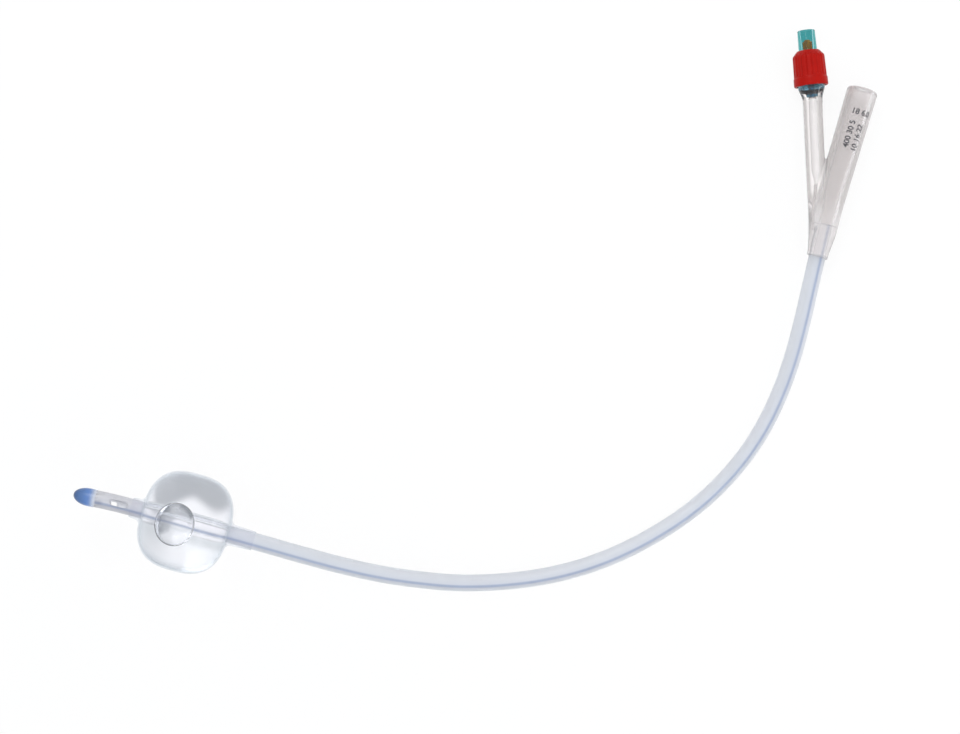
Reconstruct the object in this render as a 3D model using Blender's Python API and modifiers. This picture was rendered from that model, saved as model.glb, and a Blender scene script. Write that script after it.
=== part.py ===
"""Two-way silicone balloon catheter, lying on a table with its balloon filled.

Metres, +Z up, the table at Z = 0. The drainage funnel points along +Y and the tip along -X.
The origin lies on the table under the middle of the part's bounding box.
"""

import math

import bmesh
import bpy
import numpy as np
from mathutils import Matrix, Vector

COLLECTION_NAME = "Balloon catheter"
FIT_GAP = 0.0002  # left between pieces that touch

# Tube: an 18 French extrusion. Section coordinates are (towards the outside of the bend, up).
TUBE_DIAMETER = 0.0060
LUMEN_DIAMETER = 0.0030
LUMEN_OFFSET = 0.0004  # the drainage lumen makes room for the inflation lumen
INFLATION_LUMEN_DIAMETER = 0.00085
INFLATION_LUMEN_COVER = 0.00062  # wall between it and the tube's outside
LINE_WIDTH = 0.0010
LINE_DEPTH = 0.0005
LINE_TURN = math.radians(22)  # from straight up towards the outside of the bend
RING_SPACING = 0.0072  # between the rings of the tube's mesh
TUBE_SIDES = 17
LUMEN_SIDES = 10
INFLATION_SIDES = 6

# Drainage eyes, the eye under the balloon and the opening at the funnel end.
EYE_LENGTH = 0.0055
EYE_WIDTH = 0.0019
EYE_TURN = math.radians(14)  # from straight up away from the blue line
UPPER_EYE_STATION = 0.0082  # stations are measured along the tube from its front end
LOWER_EYE_STATION = 0.0046
INFLATION_EYE_DIAMETER = 0.0009
INFLATION_EYE_OFFSET = 0.0060  # behind the middle of the balloon
SKIVE_SETBACK = 0.0022  # from the tube's rear end
LUMEN_PLUG = 0.0010  # both ends of the inflation lumen are filled this far

# Tip.
NOSE_DIAMETER = 0.0063
NOSE_LENGTH = 0.0081
NOSE_ROUNDING = 0.0055
SPIGOT_LENGTH = 0.0014

# Balloon, a sleeve blown up to a barrel between two cuffs that are bonded to the tube.
BALLOON_DIAMETER = 0.0350
BALLOON_LENGTH = 0.0316
BALLOON_FULLNESS = 2.7  # 2 is an ellipse, more is squarer
BALLOON_WALL = 0.0005
BALLOON_STATION = 0.0321
FLAT_SPOT_DEPTH = 0.0006  # how far the balloon sinks where it rests on the table
FRONT_CUFF_LENGTH = 0.0040
REAR_CUFF_LENGTH = 0.0090
BARREL_ROWS = 16
BARREL_SIDES = 28
BUBBLE_LENGTH = 0.0138
BUBBLE_WIDTH = 0.0151
BUBBLE_HEIGHT = 0.0076
BUBBLE_SINK = 0.0020  # centre of the air pocket below the inside of the balloon's top
BUBBLE_SHIFT = 0.0017  # towards the tip, which lies higher

# Y moulding: the socket on the tube, the drainage funnel and the inflation arm.
SOCKET_DEPTH = 0.0120
SOCKET_WALL = 0.0005
FUNNEL_X = 0.1101
FUNNEL_LENGTH = 0.0501  # from the tube's rear end to the mouth
FUNNEL_DIAMETER = 0.0105
MOUTH_DIAMETER = 0.0109
LIP_ROUNDING = 0.0006
MOUTH_BORE = 0.0070
CONNECTOR_DEPTH = 0.0142  # how deep a drain connector goes
CONNECTOR_BORE = 0.0062
THROAT_BORE = 0.0038
BRANCH_SETBACK = 0.0055  # the arm's axis meets the funnel's this far behind the tube's rear end
ARM_ANGLE = math.radians(19)
ARM_LENGTH = 0.0500
ARM_DIAMETER = 0.0069
ARM_ROOT_DIAMETER = 0.0058
ARM_BORE = 0.0020
CHANNEL_BORE = 0.0009
WEB_ANGLE = math.radians(11.7)
WEB_REACH = 0.0274
CUP_WALL = 0.0011

# Inflation valve. Heights are measured along its axis from the end of the arm.
VALVE_ANGLE = math.radians(22)
SHELL_DIAMETER = 0.0070
CUP_FLOOR = 0.0031
CUP_HEIGHT = 0.0136
SHELL_FOOT = 0.0049
FLANGE_DIAMETER = 0.0094
FLANGE_BASE = 0.0141
FLANGE_THICKNESS = 0.0013
SYRINGE_MOUTH_DIAMETER = 0.0062
SYRINGE_MOUTH_FOOT_DIAMETER = 0.0066
SYRINGE_MOUTH_TOP = 0.0244
SYRINGE_BORE = 0.0043
SYRINGE_TAPER = 0.06  # change of diameter for each unit of depth
SYRINGE_DEPTH = 0.0076
THROAT_DIAMETER = 0.0037
CHAMBER_DIAMETER = 0.0054
CHAMBER_TOP = 0.0128
SEAT_HEIGHT = 0.0010

PLUNGER_TOP = 0.0209
STEM_CORE_DIAMETER = 0.0022
FIN_SPAN = 0.0033
FIN_THICKNESS = 0.0010
FIN_BASE = 0.0140
HEAD_DIAMETER = 0.0046
HEAD_TOP = 0.0124
HEAD_THICKNESS = 0.0010
PIN_DIAMETER = 0.0018
PIN_LENGTH = 0.0038
SEAL_DIAMETER = 0.0049
SEAL_HEIGHT = 0.0008
SEAL_TAPER = 0.0005

SPRING_DIAMETER = 0.0035
SPRING_WIRE = 0.0004
SPRING_TURNS = 5.5
SPRING_POINTS_PER_TURN = 12

CAP_RIM_HEIGHT = 0.0007
NOZZLE_DIAMETER = 0.0032
NOZZLE_END = 0.0007
NOZZLE_BORE = 0.0014

COLLAR_BASE = 0.0045
COLLAR_TOP = 0.0172
COLLAR_DIAMETER = 0.0117  # at the rim
COLLAR_TOP_DIAMETER = 0.0113  # at the chamfer
COLLAR_RIM_DIAMETER = 0.0121
COLLAR_RIM_HEIGHT = 0.0028
COLLAR_CHAMFER = 0.0017
COLLAR_CHAMFER_HEIGHT = 0.0020
COLLAR_ROOF = 0.0014
GROOVES = 18
GROOVE_DIAMETER = 0.0010
GROOVE_DEPTH = 0.00022
VALVE_SIDES = 24

TUBE_RADIUS = TUBE_DIAMETER / 2
BALLOON_RADIUS = BALLOON_DIAMETER / 2
CUFF_WALL = BALLOON_WALL
BALLOON_LIFT = BALLOON_RADIUS - FLAT_SPOT_DEPTH - TUBE_RADIUS
YOKE_HEIGHT = COLLAR_RIM_DIAMETER / 2
YOKE_LIFT = YOKE_HEIGHT - TUBE_RADIUS

# The tube's centreline from its front end to its rear end: x, y, and how far it is lifted off the
# table as a share of the balloon's lift and as a share of the Y moulding's lift. The points from
# x = -0.098 to x = -0.046 lie on one line, because the filled balloon holds the tube straight.
ROUTE = (
    (-0.1083, -0.10745, 1.150, 0.0),
    (-0.1035, -0.10710, 1.140, 0.0),
    (-0.0980, -0.10690, 1.1203, 0.0),
    (-0.0900, -0.10683, 1.0759, 0.0),
    (-0.0763, -0.10671, 1.0000, 0.0),
    (-0.0620, -0.10659, 0.9208, 0.0),
    (-0.0500, -0.10649, 0.8543, 0.0),
    (-0.0460, -0.10645, 0.8321, 0.0),
    (-0.0340, -0.10650, 0.7250, 0.0),
    (-0.0200, -0.10635, 0.5790, 0.0),
    (-0.0060, -0.10560, 0.4270, 0.0),
    (0.0080, -0.10385, 0.2850, 0.0),
    (0.0220, -0.10110, 0.1660, 0.0),
    (0.0360, -0.09670, 0.0790, 0.0),
    (0.0495, -0.09095, 0.0260, 0.0),
    (0.0620, -0.08385, 0.0040, 0.0),
    (0.0736, -0.07515, 0.0, 0.0),
    (0.0843, -0.06490, 0.0, 0.0),
    (0.0938, -0.05360, 0.0, 0.0),
    (0.1016, -0.04120, 0.0, 0.002),
    (0.1073, -0.02850, 0.0, 0.036),
    (0.1110, -0.01550, 0.0, 0.130),
    (0.1129, -0.00200, 0.0, 0.298),
    (0.1134, 0.01050, 0.0, 0.501),
    (0.1130, 0.02250, 0.0, 0.713),
    (0.1122, 0.03450, 0.0, 0.900),
    (0.1114, 0.04650, 0.0, 0.995),
    (0.1106, 0.05850, 0.0, 1.0),
)
SAMPLES_PER_SPAN = 24


def start_scene():
    for obj in list(bpy.data.objects):
        bpy.data.objects.remove(obj, do_unlink=True)
    parts = bpy.data.collections.new(COLLECTION_NAME)
    helpers = bpy.data.collections.new("Cutters")
    bpy.context.scene.collection.children.link(parts)
    bpy.context.scene.collection.children.link(helpers)
    return parts, helpers


PARTS, HELPERS = start_scene()


def material(name, colour, roughness, metallic=0.0, alpha=1.0):
    made = bpy.data.materials.new(name)
    made.use_nodes = True
    shader = made.node_tree.nodes["Principled BSDF"]
    shader.inputs["Base Color"].default_value = (*colour, 1.0)
    shader.inputs["Roughness"].default_value = roughness
    shader.inputs["Metallic"].default_value = metallic
    shader.inputs["Alpha"].default_value = alpha
    made.diffuse_color = (*colour, alpha)
    return made


def as_part(obj, name, made_of):
    """Names an object as a sub-part, gives it its material and puts it among the parts."""
    obj.name = name
    obj.data.name = name
    obj.data.materials.clear()
    obj.data.materials.append(made_of)
    for owner in list(obj.users_collection):
        owner.objects.unlink(obj)
    PARTS.objects.link(obj)
    obj.hide_render = False
    obj.display_type = "SOLID"
    return obj


def as_helper(obj):
    """Keeps a cutter, a blank or a guide out of the finished part."""
    HELPERS.objects.link(obj)
    obj.hide_render = True
    obj.display_type = "WIRE"
    return obj


def boolean(target, operation, *others):
    for other in others:
        modifier = target.modifiers.new(f"{operation} {other.name}", "BOOLEAN")
        modifier.operation = operation
        modifier.object = other
        modifier.solver = "EXACT"


def smoothed_route():
    """Points on a centripetal Catmull-Rom curve through ROUTE, and the distance along it to each."""
    knots = np.array(
        [(x, y, TUBE_RADIUS + a * BALLOON_LIFT + b * YOKE_LIFT) for x, y, a, b in ROUTE]
    )
    before = 2 * knots[0] - knots[1]
    after = 2 * knots[-1] - knots[-2]
    knots = np.vstack([before, knots, after])
    times = np.concatenate(
        [[0], np.cumsum(np.sqrt(np.linalg.norm(np.diff(knots, axis=0), axis=1)))]
    )

    def between(low, high, first, second, t):
        return (first * (times[high] - t) + second * (t - times[low])) / (times[high] - times[low])

    points = [knots[1]]
    for i in range(1, len(knots) - 2):
        for t in np.linspace(times[i], times[i + 1], SAMPLES_PER_SPAN + 1)[1:]:
            a = between(i - 1, i, knots[i - 1], knots[i], t)
            b = between(i, i + 1, knots[i], knots[i + 1], t)
            c = between(i + 1, i + 2, knots[i + 1], knots[i + 2], t)
            points.append(
                between(i, i + 1, between(i - 1, i + 1, a, b, t), between(i, i + 2, b, c, t), t)
            )
    points = np.array(points)
    steps = np.linalg.norm(np.diff(points, axis=0), axis=1)
    return points, np.concatenate([[0], np.cumsum(steps)])


CENTRELINE, DISTANCES = smoothed_route()
TUBE_LENGTH = float(DISTANCES[-1])


def point_at(distance):
    """The centreline's point at a distance from the tube's front end, straight on past either end."""
    inside = min(max(distance, 0), TUBE_LENGTH)
    point = Vector([np.interp(inside, DISTANCES, CENTRELINE[:, i]) for i in range(3)])
    return point + (distance - inside) * tangent_at(inside)


def tangent_at(distance):
    """Direction of the centreline, towards the rear end."""
    i = min(max(int(np.searchsorted(DISTANCES, distance)), 1), len(DISTANCES) - 1)
    return Vector(CENTRELINE[i] - CENTRELINE[i - 1]).normalized()


def axes_at(distance):
    """Outward, upward and forward directions of the tube's section: forward points to the tip."""
    forward = -tangent_at(distance)
    outward = (-forward).cross(Vector((0, 0, 1))).normalized()
    return outward, outward.cross(-forward), forward


def placed(origin, x_axis, y_axis, z_axis):
    turn = Matrix((x_axis, y_axis, z_axis)).transposed().to_4x4()
    return Matrix.Translation(origin) @ turn


def station(distance):
    """Local Z points along the tube to the tip, X to the outside of the bend, Y up."""
    return placed(point_at(distance), *axes_at(distance))


def rings_between(start, end):
    """Centreline points at even steps, with rings at the same places for every swept piece."""
    first = math.floor(start / RING_SPACING) + 1
    inner = [i * RING_SPACING for i in range(first, math.ceil(end / RING_SPACING))]
    clear = RING_SPACING / 20
    inner = [d for d in inner if start + clear < d < end - clear]
    return [point_at(d) for d in (start, *inner, end)]


def circle_outline(centre, radius, sides):
    turns = [2 * math.pi * i / sides for i in range(sides)]
    return [(centre[0] + radius * math.cos(t), centre[1] + radius * math.sin(t)) for t in turns]


def mesh_of_curve(curve_object):
    """Turns a curve object into a mesh helper with its caps welded and its faces pointing out."""
    bpy.context.view_layer.update()
    graph = bpy.context.evaluated_depsgraph_get()
    mesh = bpy.data.meshes.new_from_object(curve_object.evaluated_get(graph))
    work = bmesh.new()
    work.from_mesh(mesh)
    bmesh.ops.remove_doubles(work, verts=work.verts, dist=1e-7)
    bmesh.ops.recalc_face_normals(work, faces=work.faces)
    work.to_mesh(mesh)
    work.free()
    made = as_helper(bpy.data.objects.new(curve_object.name, mesh))
    made.matrix_world = curve_object.matrix_world
    bpy.data.objects.remove(curve_object, do_unlink=True)
    return made


def poly_curve(name, points, radii=None):
    curve = bpy.data.curves.new(name, "CURVE")
    curve.dimensions = "3D"
    curve.twist_mode = "Z_UP"
    curve.use_fill_caps = True
    spline = curve.splines.new("POLY")
    spline.points.add(len(points) - 1)
    for i, point in enumerate(points):
        spline.points[i].co = (*point, 1)
        spline.points[i].radius = 1 if radii is None else radii[i]
    obj = bpy.data.objects.new(name, curve)
    bpy.context.scene.collection.objects.link(obj)
    return obj


def swept_section(name, points, outline):
    """A solid with the given section, carried along the points."""
    section = bpy.data.curves.new(f"{name} section", "CURVE")
    section.dimensions = "2D"
    spline = section.splines.new("POLY")
    spline.points.add(len(outline) - 1)
    for corner, (x, y) in zip(spline.points, outline):
        corner.co = (x, y, 0, 1)
    spline.use_cyclic_u = True
    guide = as_helper(bpy.data.objects.new(section.name, section))
    obj = poly_curve(name, points)
    obj.data.bevel_mode = "OBJECT"
    obj.data.bevel_object = guide
    return mesh_of_curve(obj)


def swept_round(name, stations, resolution=4):
    """A round solid through (point, radius) pairs. It has 4 sides more than twice the resolution."""
    obj = poly_curve(name, [point for point, _ in stations], [radius for _, radius in stations])
    obj.data.bevel_depth = 1.0
    obj.data.bevel_resolution = resolution
    return mesh_of_curve(obj)


def profile_object(name, profile, frame, sides, closed):
    """A profile of (radius, height) pairs turned about the frame's Z axis by a Screw modifier."""
    count = len(profile)
    edges = [(i, i + 1) for i in range(count - 1)]
    if closed:
        edges.append((count - 1, 0))
    mesh = bpy.data.meshes.new(name)
    mesh.from_pydata([(radius, 0, height) for radius, height in profile], edges, [])
    obj = as_helper(bpy.data.objects.new(name, mesh))
    obj.matrix_world = frame
    screw = obj.modifiers.new("Turn", "SCREW")
    screw.axis = "Z"
    screw.steps = sides
    screw.render_steps = sides
    screw.use_merge_vertices = True
    screw.merge_threshold = 1e-6
    screw.use_smooth_shade = True
    return obj


def turned(name, profile, frame, sides=VALVE_SIDES):
    """A solid whose profile runs from the axis at the top to the axis at the bottom."""
    return profile_object(name, profile, frame, sides, closed=False)


def turned_ring(name, profile, frame, sides=VALVE_SIDES):
    """A hollow solid whose closed profile runs down outside and up inside."""
    return profile_object(name, profile, frame, sides, closed=True)


def rod(name, start, end, radius, sides=12, stretch=1.0, stretch_axis=None):
    """A cylinder between two points. It can be stretched to an oval along one axis."""
    axis = (end - start).normalized()
    side = stretch_axis if stretch_axis is not None else axis.orthogonal()
    side = (side - side.dot(axis) * axis).normalized()
    frame = placed((start + end) / 2, side, axis.cross(side), axis)
    work = bmesh.new()
    bmesh.ops.create_cone(
        work,
        cap_ends=True,
        segments=sides,
        radius1=radius,
        radius2=radius,
        depth=(end - start).length,
        matrix=frame @ Matrix.Diagonal((stretch, 1, 1, 1)),
    )
    mesh = bpy.data.meshes.new(name)
    work.to_mesh(mesh)
    work.free()
    return as_helper(bpy.data.objects.new(name, mesh))


def lumen_centre():
    return LUMEN_OFFSET, 0.0


def inflation_centre():
    return -(TUBE_RADIUS - INFLATION_LUMEN_COVER - INFLATION_LUMEN_DIAMETER / 2), 0.0


def line_angle():
    return math.pi / 2 - LINE_TURN


def tube_outline():
    """The tube's outside, with the groove that holds the blue line."""
    half_groove = (LINE_WIDTH / 2 + FIT_GAP) / TUBE_RADIUS
    first = line_angle() + half_groove
    last = line_angle() - half_groove + 2 * math.pi
    floor = TUBE_RADIUS - LINE_DEPTH - FIT_GAP
    around = [first + (last - first) * i / (TUBE_SIDES - 1) for i in range(TUBE_SIDES)]
    points = [(TUBE_RADIUS * math.cos(t), TUBE_RADIUS * math.sin(t)) for t in around]
    return points + [(floor * math.cos(t), floor * math.sin(t)) for t in (last, first)]


def line_outline():
    half = LINE_WIDTH / 2 / TUBE_RADIUS
    floor = TUBE_RADIUS - LINE_DEPTH
    top = [line_angle() + half * share for share in (1, 0, -1)]
    points = [(TUBE_RADIUS * math.cos(t), TUBE_RADIUS * math.sin(t)) for t in top]
    return points + [(floor * math.cos(t), floor * math.sin(t)) for t in (top[-1], top[0])]


def make_eye(name, distance, turn):
    """An oval cutter through one wall, from inside the drainage lumen. Turn is from straight up."""
    outward, upward, forward = axes_at(distance)
    facing = math.sin(turn) * outward + math.cos(turn) * upward
    centre = point_at(distance) + lumen_centre()[0] * outward
    return rod(
        name,
        centre,
        centre + facing * 2 * TUBE_RADIUS,
        EYE_WIDTH / 2,
        sides=14,
        stretch=EYE_LENGTH / EYE_WIDTH,
        stretch_axis=forward,
    )


def make_inflation_eye(name, distance):
    """A small hole from the inflation lumen out through the inside of the bend."""
    outward = axes_at(distance)[0]
    start = point_at(distance) + inflation_centre()[0] * outward
    return rod(name, start, start - outward * TUBE_RADIUS, INFLATION_EYE_DIAMETER / 2, sides=8)


def make_tube(silicone):
    tube = swept_section("tube", rings_between(0, TUBE_LENGTH), tube_outline())
    overrun = TUBE_DIAMETER / 2
    lumen = swept_section(
        "drainage lumen",
        rings_between(-overrun, TUBE_LENGTH + overrun),
        circle_outline(lumen_centre(), LUMEN_DIAMETER / 2, LUMEN_SIDES),
    )
    small_lumen = swept_section(
        "inflation lumen",
        rings_between(LUMEN_PLUG, TUBE_LENGTH - LUMEN_PLUG),
        circle_outline(inflation_centre(), INFLATION_LUMEN_DIAMETER / 2, INFLATION_SIDES),
    )
    boolean(
        tube,
        "DIFFERENCE",
        lumen,
        small_lumen,
        make_eye("upper drainage eye", UPPER_EYE_STATION, -EYE_TURN),
        make_eye("lower drainage eye", LOWER_EYE_STATION, math.pi - EYE_TURN),
        make_inflation_eye("inflation eye", BALLOON_STATION + INFLATION_EYE_OFFSET),
        make_inflation_eye("inflation opening", TUBE_LENGTH - SKIVE_SETBACK),
    )
    return as_part(tube, "tube", silicone)


def make_xray_line(blue):
    line = swept_section("xray_line", rings_between(0, TUBE_LENGTH), line_outline())
    return as_part(line, "xray_line", blue)


def make_tip(blue):
    """A round nose, with a spigot that plugs the drainage lumen."""
    radius = NOSE_DIAMETER / 2
    frame = station(0)
    frame.translation = point_at(-FIT_GAP)
    turns = [math.pi / 2 * i / 7 for i in range(8)]
    straight = NOSE_LENGTH - NOSE_ROUNDING
    profile = [
        (radius * math.sin(t), straight + NOSE_ROUNDING * math.cos(t)) for t in turns
    ]
    profile[0] = (0, NOSE_LENGTH)
    profile += [(radius, 0), (0, 0)]
    tip = turned("tip", profile, frame, sides=20)
    outward, _, forward = axes_at(0)
    centre = point_at(0) + lumen_centre()[0] * outward
    spigot = rod(
        "tip spigot",
        centre - forward * SPIGOT_LENGTH,
        centre + forward * NOSE_LENGTH / 3,
        LUMEN_DIAMETER / 2 * math.cos(math.pi / LUMEN_SIDES) - FIT_GAP,
        sides=LUMEN_SIDES,
    )
    boolean(tip, "UNION", spigot)
    return as_part(tip, "tip", blue)


def barrel_profile(inset):
    """The balloon's side from front to rear as a superellipse, moved in along its own normal."""
    power = 2 / BALLOON_FULLNESS
    cuff_radius = TUBE_RADIUS + FIT_GAP + CUFF_WALL
    start = math.asin((cuff_radius / BALLOON_RADIUS) ** (1 / power))
    profile = []
    for i in range(BARREL_ROWS + 1):
        t = start + (math.pi - 2 * start) * i / BARREL_ROWS
        along = math.copysign(abs(math.cos(t)) ** power, math.cos(t))
        across = math.sin(t) ** power
        normal = Vector(
            (
                across ** (BALLOON_FULLNESS - 1) / BALLOON_RADIUS,
                math.copysign(abs(along) ** (BALLOON_FULLNESS - 1), along)
                / (BALLOON_LENGTH / 2),
            )
        ).normalized()
        profile.append(
            (
                BALLOON_RADIUS * across - inset * normal.x,
                BALLOON_LENGTH / 2 * along - inset * normal.y,
            )
        )
    return profile


def mesh_of_helper(obj):
    """The evaluated mesh of a helper, in world space and welded, as a new helper."""
    bpy.context.view_layer.update()
    graph = bpy.context.evaluated_depsgraph_get()
    mesh = bpy.data.meshes.new_from_object(obj.evaluated_get(graph))
    mesh.transform(obj.matrix_world)
    made = as_helper(bpy.data.objects.new(obj.name, mesh))
    bpy.data.objects.remove(obj, do_unlink=True)
    return made


def press_flat(obj, height):
    """Flattens what would sink below a height, as the table does to the filled balloon."""
    for vertex in obj.data.vertices:
        vertex.co.z = max(vertex.co.z, height)


def make_balloon(silicone):
    """An open skin over both cuffs and the barrel, thickened inwards."""
    cuff_radius = TUBE_RADIUS + FIT_GAP + CUFF_WALL
    barrel = barrel_profile(0)
    front = (cuff_radius, barrel[0][1] + FRONT_CUFF_LENGTH)
    rear = (cuff_radius, barrel[-1][1] - REAR_CUFF_LENGTH)
    frame = station(BALLOON_STATION)
    skin = turned("balloon skin", [front, *barrel, rear], frame, BARREL_SIDES)
    balloon = mesh_of_helper(skin)
    press_flat(balloon, 0.0)
    wall = balloon.modifiers.new("Wall", "SOLIDIFY")
    wall.thickness = BALLOON_WALL
    wall.offset = -1
    wall.use_even_offset = True
    return as_part(balloon, "balloon", silicone)


def make_balloon_water(water):
    """The filling around the tube, less the air pocket under the top of the balloon."""
    inset = BALLOON_WALL + FIT_GAP
    side = barrel_profile(inset)
    hole = (TUBE_RADIUS + FIT_GAP) / math.cos(math.pi / BARREL_SIDES)
    side = [point for point in side if point[0] > hole + FIT_GAP]
    profile = [(hole, side[0][1]), *side, (hole, side[-1][1])]
    frame = station(BALLOON_STATION)
    filling = mesh_of_helper(turned_ring("balloon filling", profile, frame, BARREL_SIDES))
    press_flat(filling, inset)
    outward, upward, forward = axes_at(BALLOON_STATION)
    top = BALLOON_RADIUS - inset - BUBBLE_SINK
    centre = point_at(BALLOON_STATION) + BUBBLE_SHIFT * forward + Vector((0, 0, top))
    size = Matrix.Diagonal((BUBBLE_WIDTH / 2, BUBBLE_HEIGHT / 2, BUBBLE_LENGTH / 2, 1))
    work = bmesh.new()
    bmesh.ops.create_uvsphere(
        work,
        u_segments=20,
        v_segments=12,
        radius=1,
        matrix=placed(centre, outward, upward, forward) @ size,
    )
    mesh = bpy.data.meshes.new("air pocket")
    work.to_mesh(mesh)
    work.free()
    pocket = as_helper(bpy.data.objects.new("air pocket", mesh))
    boolean(filling, "DIFFERENCE", pocket)
    return as_part(filling, "balloon_water", water)


def yoke_point(x, y):
    return Vector((x, y, YOKE_HEIGHT))


REAR_END = point_at(TUBE_LENGTH)
BRANCH = yoke_point(FUNNEL_X, REAR_END.y - BRANCH_SETBACK)
ARM_DIRECTION = Vector((-math.sin(ARM_ANGLE), math.cos(ARM_ANGLE), 0))
ARM_END = BRANCH + ARM_LENGTH * ARM_DIRECTION
VALVE_DIRECTION = Vector((-math.sin(VALVE_ANGLE), math.cos(VALVE_ANGLE), 0))
VALVE_FRAME = placed(
    ARM_END, Vector((0, 0, 1)).cross(VALVE_DIRECTION), Vector((0, 0, 1)), VALVE_DIRECTION
)
CUP_RADIUS = SHELL_DIAMETER / 2 + FIT_GAP
CUP_OUTER_RADIUS = CUP_RADIUS + CUP_WALL


def along_arm(distance):
    return BRANCH + distance * ARM_DIRECTION


def along_valve(height):
    return ARM_END + height * VALVE_DIRECTION


def funnel_point(distance):
    """A point on the funnel's axis, at a distance in front of the tube's rear end."""
    return yoke_point(FUNNEL_X, REAR_END.y + distance)


def make_funnel_blank():
    socket_radius = TUBE_RADIUS + FIT_GAP + SOCKET_WALL
    funnel_radius = FUNNEL_DIAMETER / 2
    mouth_radius = MOUTH_DIAMETER / 2
    growth = funnel_radius - socket_radius
    stations = [
        (point_at(TUBE_LENGTH - SOCKET_DEPTH), socket_radius),
        (point_at(TUBE_LENGTH - SOCKET_DEPTH * 0.82), socket_radius + growth * 0.08),
        (point_at(TUBE_LENGTH - SOCKET_DEPTH * 0.54), socket_radius + growth * 0.38),
        (point_at(TUBE_LENGTH - SOCKET_DEPTH * 0.22), socket_radius + growth * 0.72),
        (REAR_END.lerp(funnel_point(0), 0.3), socket_radius + growth * 0.88),
        (funnel_point(FUNNEL_LENGTH * 0.15), socket_radius + growth * 0.98),
        (funnel_point(FUNNEL_LENGTH * 0.28), funnel_radius),
        (funnel_point(FUNNEL_LENGTH * 0.60), (funnel_radius + mouth_radius) / 2),
        (funnel_point(FUNNEL_LENGTH - 2 * LIP_ROUNDING), mouth_radius),
        (funnel_point(FUNNEL_LENGTH - LIP_ROUNDING / 3), mouth_radius - LIP_ROUNDING / 3),
        (funnel_point(FUNNEL_LENGTH), mouth_radius - LIP_ROUNDING),
    ]
    return swept_round("y_moulding", stations, resolution=8)


def make_arm_blank():
    root = ARM_ROOT_DIAMETER / 2
    arm = ARM_DIAMETER / 2
    stations = [
        (along_arm(-ARM_ROOT_DIAMETER / 4), root),
        (along_arm(ARM_LENGTH * 0.20), root + (arm - root) * 0.6),
        (along_arm(ARM_LENGTH * 0.48), root + (arm - root) * 0.85),
        (along_arm(ARM_LENGTH * 0.95), arm),
        (along_valve(COLLAR_BASE * 0.10), arm * 1.05),
        (along_valve(COLLAR_BASE * 0.45), (arm + CUP_OUTER_RADIUS) / 2),
        (along_valve(COLLAR_BASE * 0.80), CUP_OUTER_RADIUS * 0.97),
        (along_valve(COLLAR_BASE), CUP_OUTER_RADIUS),
        (along_valve(CUP_HEIGHT), CUP_OUTER_RADIUS),
    ]
    return swept_round("inflation arm", stations, resolution=6)


def make_web_blank():
    """A tapering finger that fills the crotch between the funnel and the arm."""
    direction = Vector((-math.sin(WEB_ANGLE), math.cos(WEB_ANGLE), 0))
    arm = ARM_DIAMETER / 2
    shares = ((0.35, 0.75), (0.70, 0.62), (0.88, 0.50), (0.97, 0.30), (1.0, 0.12))
    stations = [(BRANCH + WEB_REACH * s * direction, arm * width) for s, width in shares]
    return swept_round("crotch web", stations, resolution=3)


def make_socket_cutter():
    rings = rings_between(TUBE_LENGTH - SOCKET_DEPTH - TUBE_RADIUS, TUBE_LENGTH + FIT_GAP)
    radius = TUBE_RADIUS + FIT_GAP
    return swept_round("tube socket", [(point, radius) for point in rings], resolution=8)


def make_drain_cutter():
    outward = axes_at(TUBE_LENGTH)[0]
    start = REAR_END + lumen_centre()[0] * outward
    stations = [
        (start, THROAT_BORE / 2),
        (start.lerp(funnel_point(0), 0.35) + Vector((0, 0.004, 0)), THROAT_BORE / 2 * 1.08),
        (funnel_point(FUNNEL_LENGTH * 0.25), THROAT_BORE / 2 * 1.3),
        (funnel_point(FUNNEL_LENGTH * 0.55), CONNECTOR_BORE / 2 * 0.94),
        (funnel_point(FUNNEL_LENGTH - CONNECTOR_DEPTH), CONNECTOR_BORE / 2),
        (funnel_point(FUNNEL_LENGTH), MOUTH_BORE / 2),
        (funnel_point(FUNNEL_LENGTH + MOUTH_BORE / 4), MOUTH_BORE / 2),
    ]
    return swept_round("drainage bore", stations, resolution=8)


def make_inflation_cutter():
    """The arm's bore, narrowing to the channel that meets the opening in the tube's side."""
    outward = axes_at(TUBE_LENGTH - SKIVE_SETBACK)[0]
    opening = point_at(TUBE_LENGTH - SKIVE_SETBACK) - TUBE_RADIUS * 0.94 * outward
    middle = opening.lerp(along_arm(ARM_LENGTH * 0.40), 0.42) - outward * CHANNEL_BORE / 2
    stations = [
        (along_valve(CUP_FLOOR + FIT_GAP), NOZZLE_DIAMETER / 2 + FIT_GAP),
        (along_valve(NOZZLE_END - FIT_GAP), NOZZLE_DIAMETER / 2 + FIT_GAP),
        (along_valve(-NOZZLE_END), ARM_BORE / 2),
        (along_arm(ARM_LENGTH * 0.50), ARM_BORE / 2),
        (along_arm(ARM_LENGTH * 0.40), CHANNEL_BORE / 2),
        (middle, CHANNEL_BORE / 2),
        (opening, CHANNEL_BORE / 2),
    ]
    return swept_round("inflation bore", stations, resolution=4)


def make_cup_cutter():
    profile = [
        (0, CUP_HEIGHT + CUP_WALL),
        (CUP_RADIUS, CUP_HEIGHT + CUP_WALL),
        (CUP_RADIUS, CUP_FLOOR),
        (0, CUP_FLOOR),
    ]
    return turned("valve cup", profile, VALVE_FRAME)


def make_y_moulding(silicone):
    moulding = make_funnel_blank()
    boolean(moulding, "UNION", make_arm_blank(), make_web_blank())
    boolean(
        moulding,
        "DIFFERENCE",
        make_socket_cutter(),
        make_drain_cutter(),
        make_cup_cutter(),
        make_inflation_cutter(),
    )
    return as_part(moulding, "y_moulding", silicone)


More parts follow.
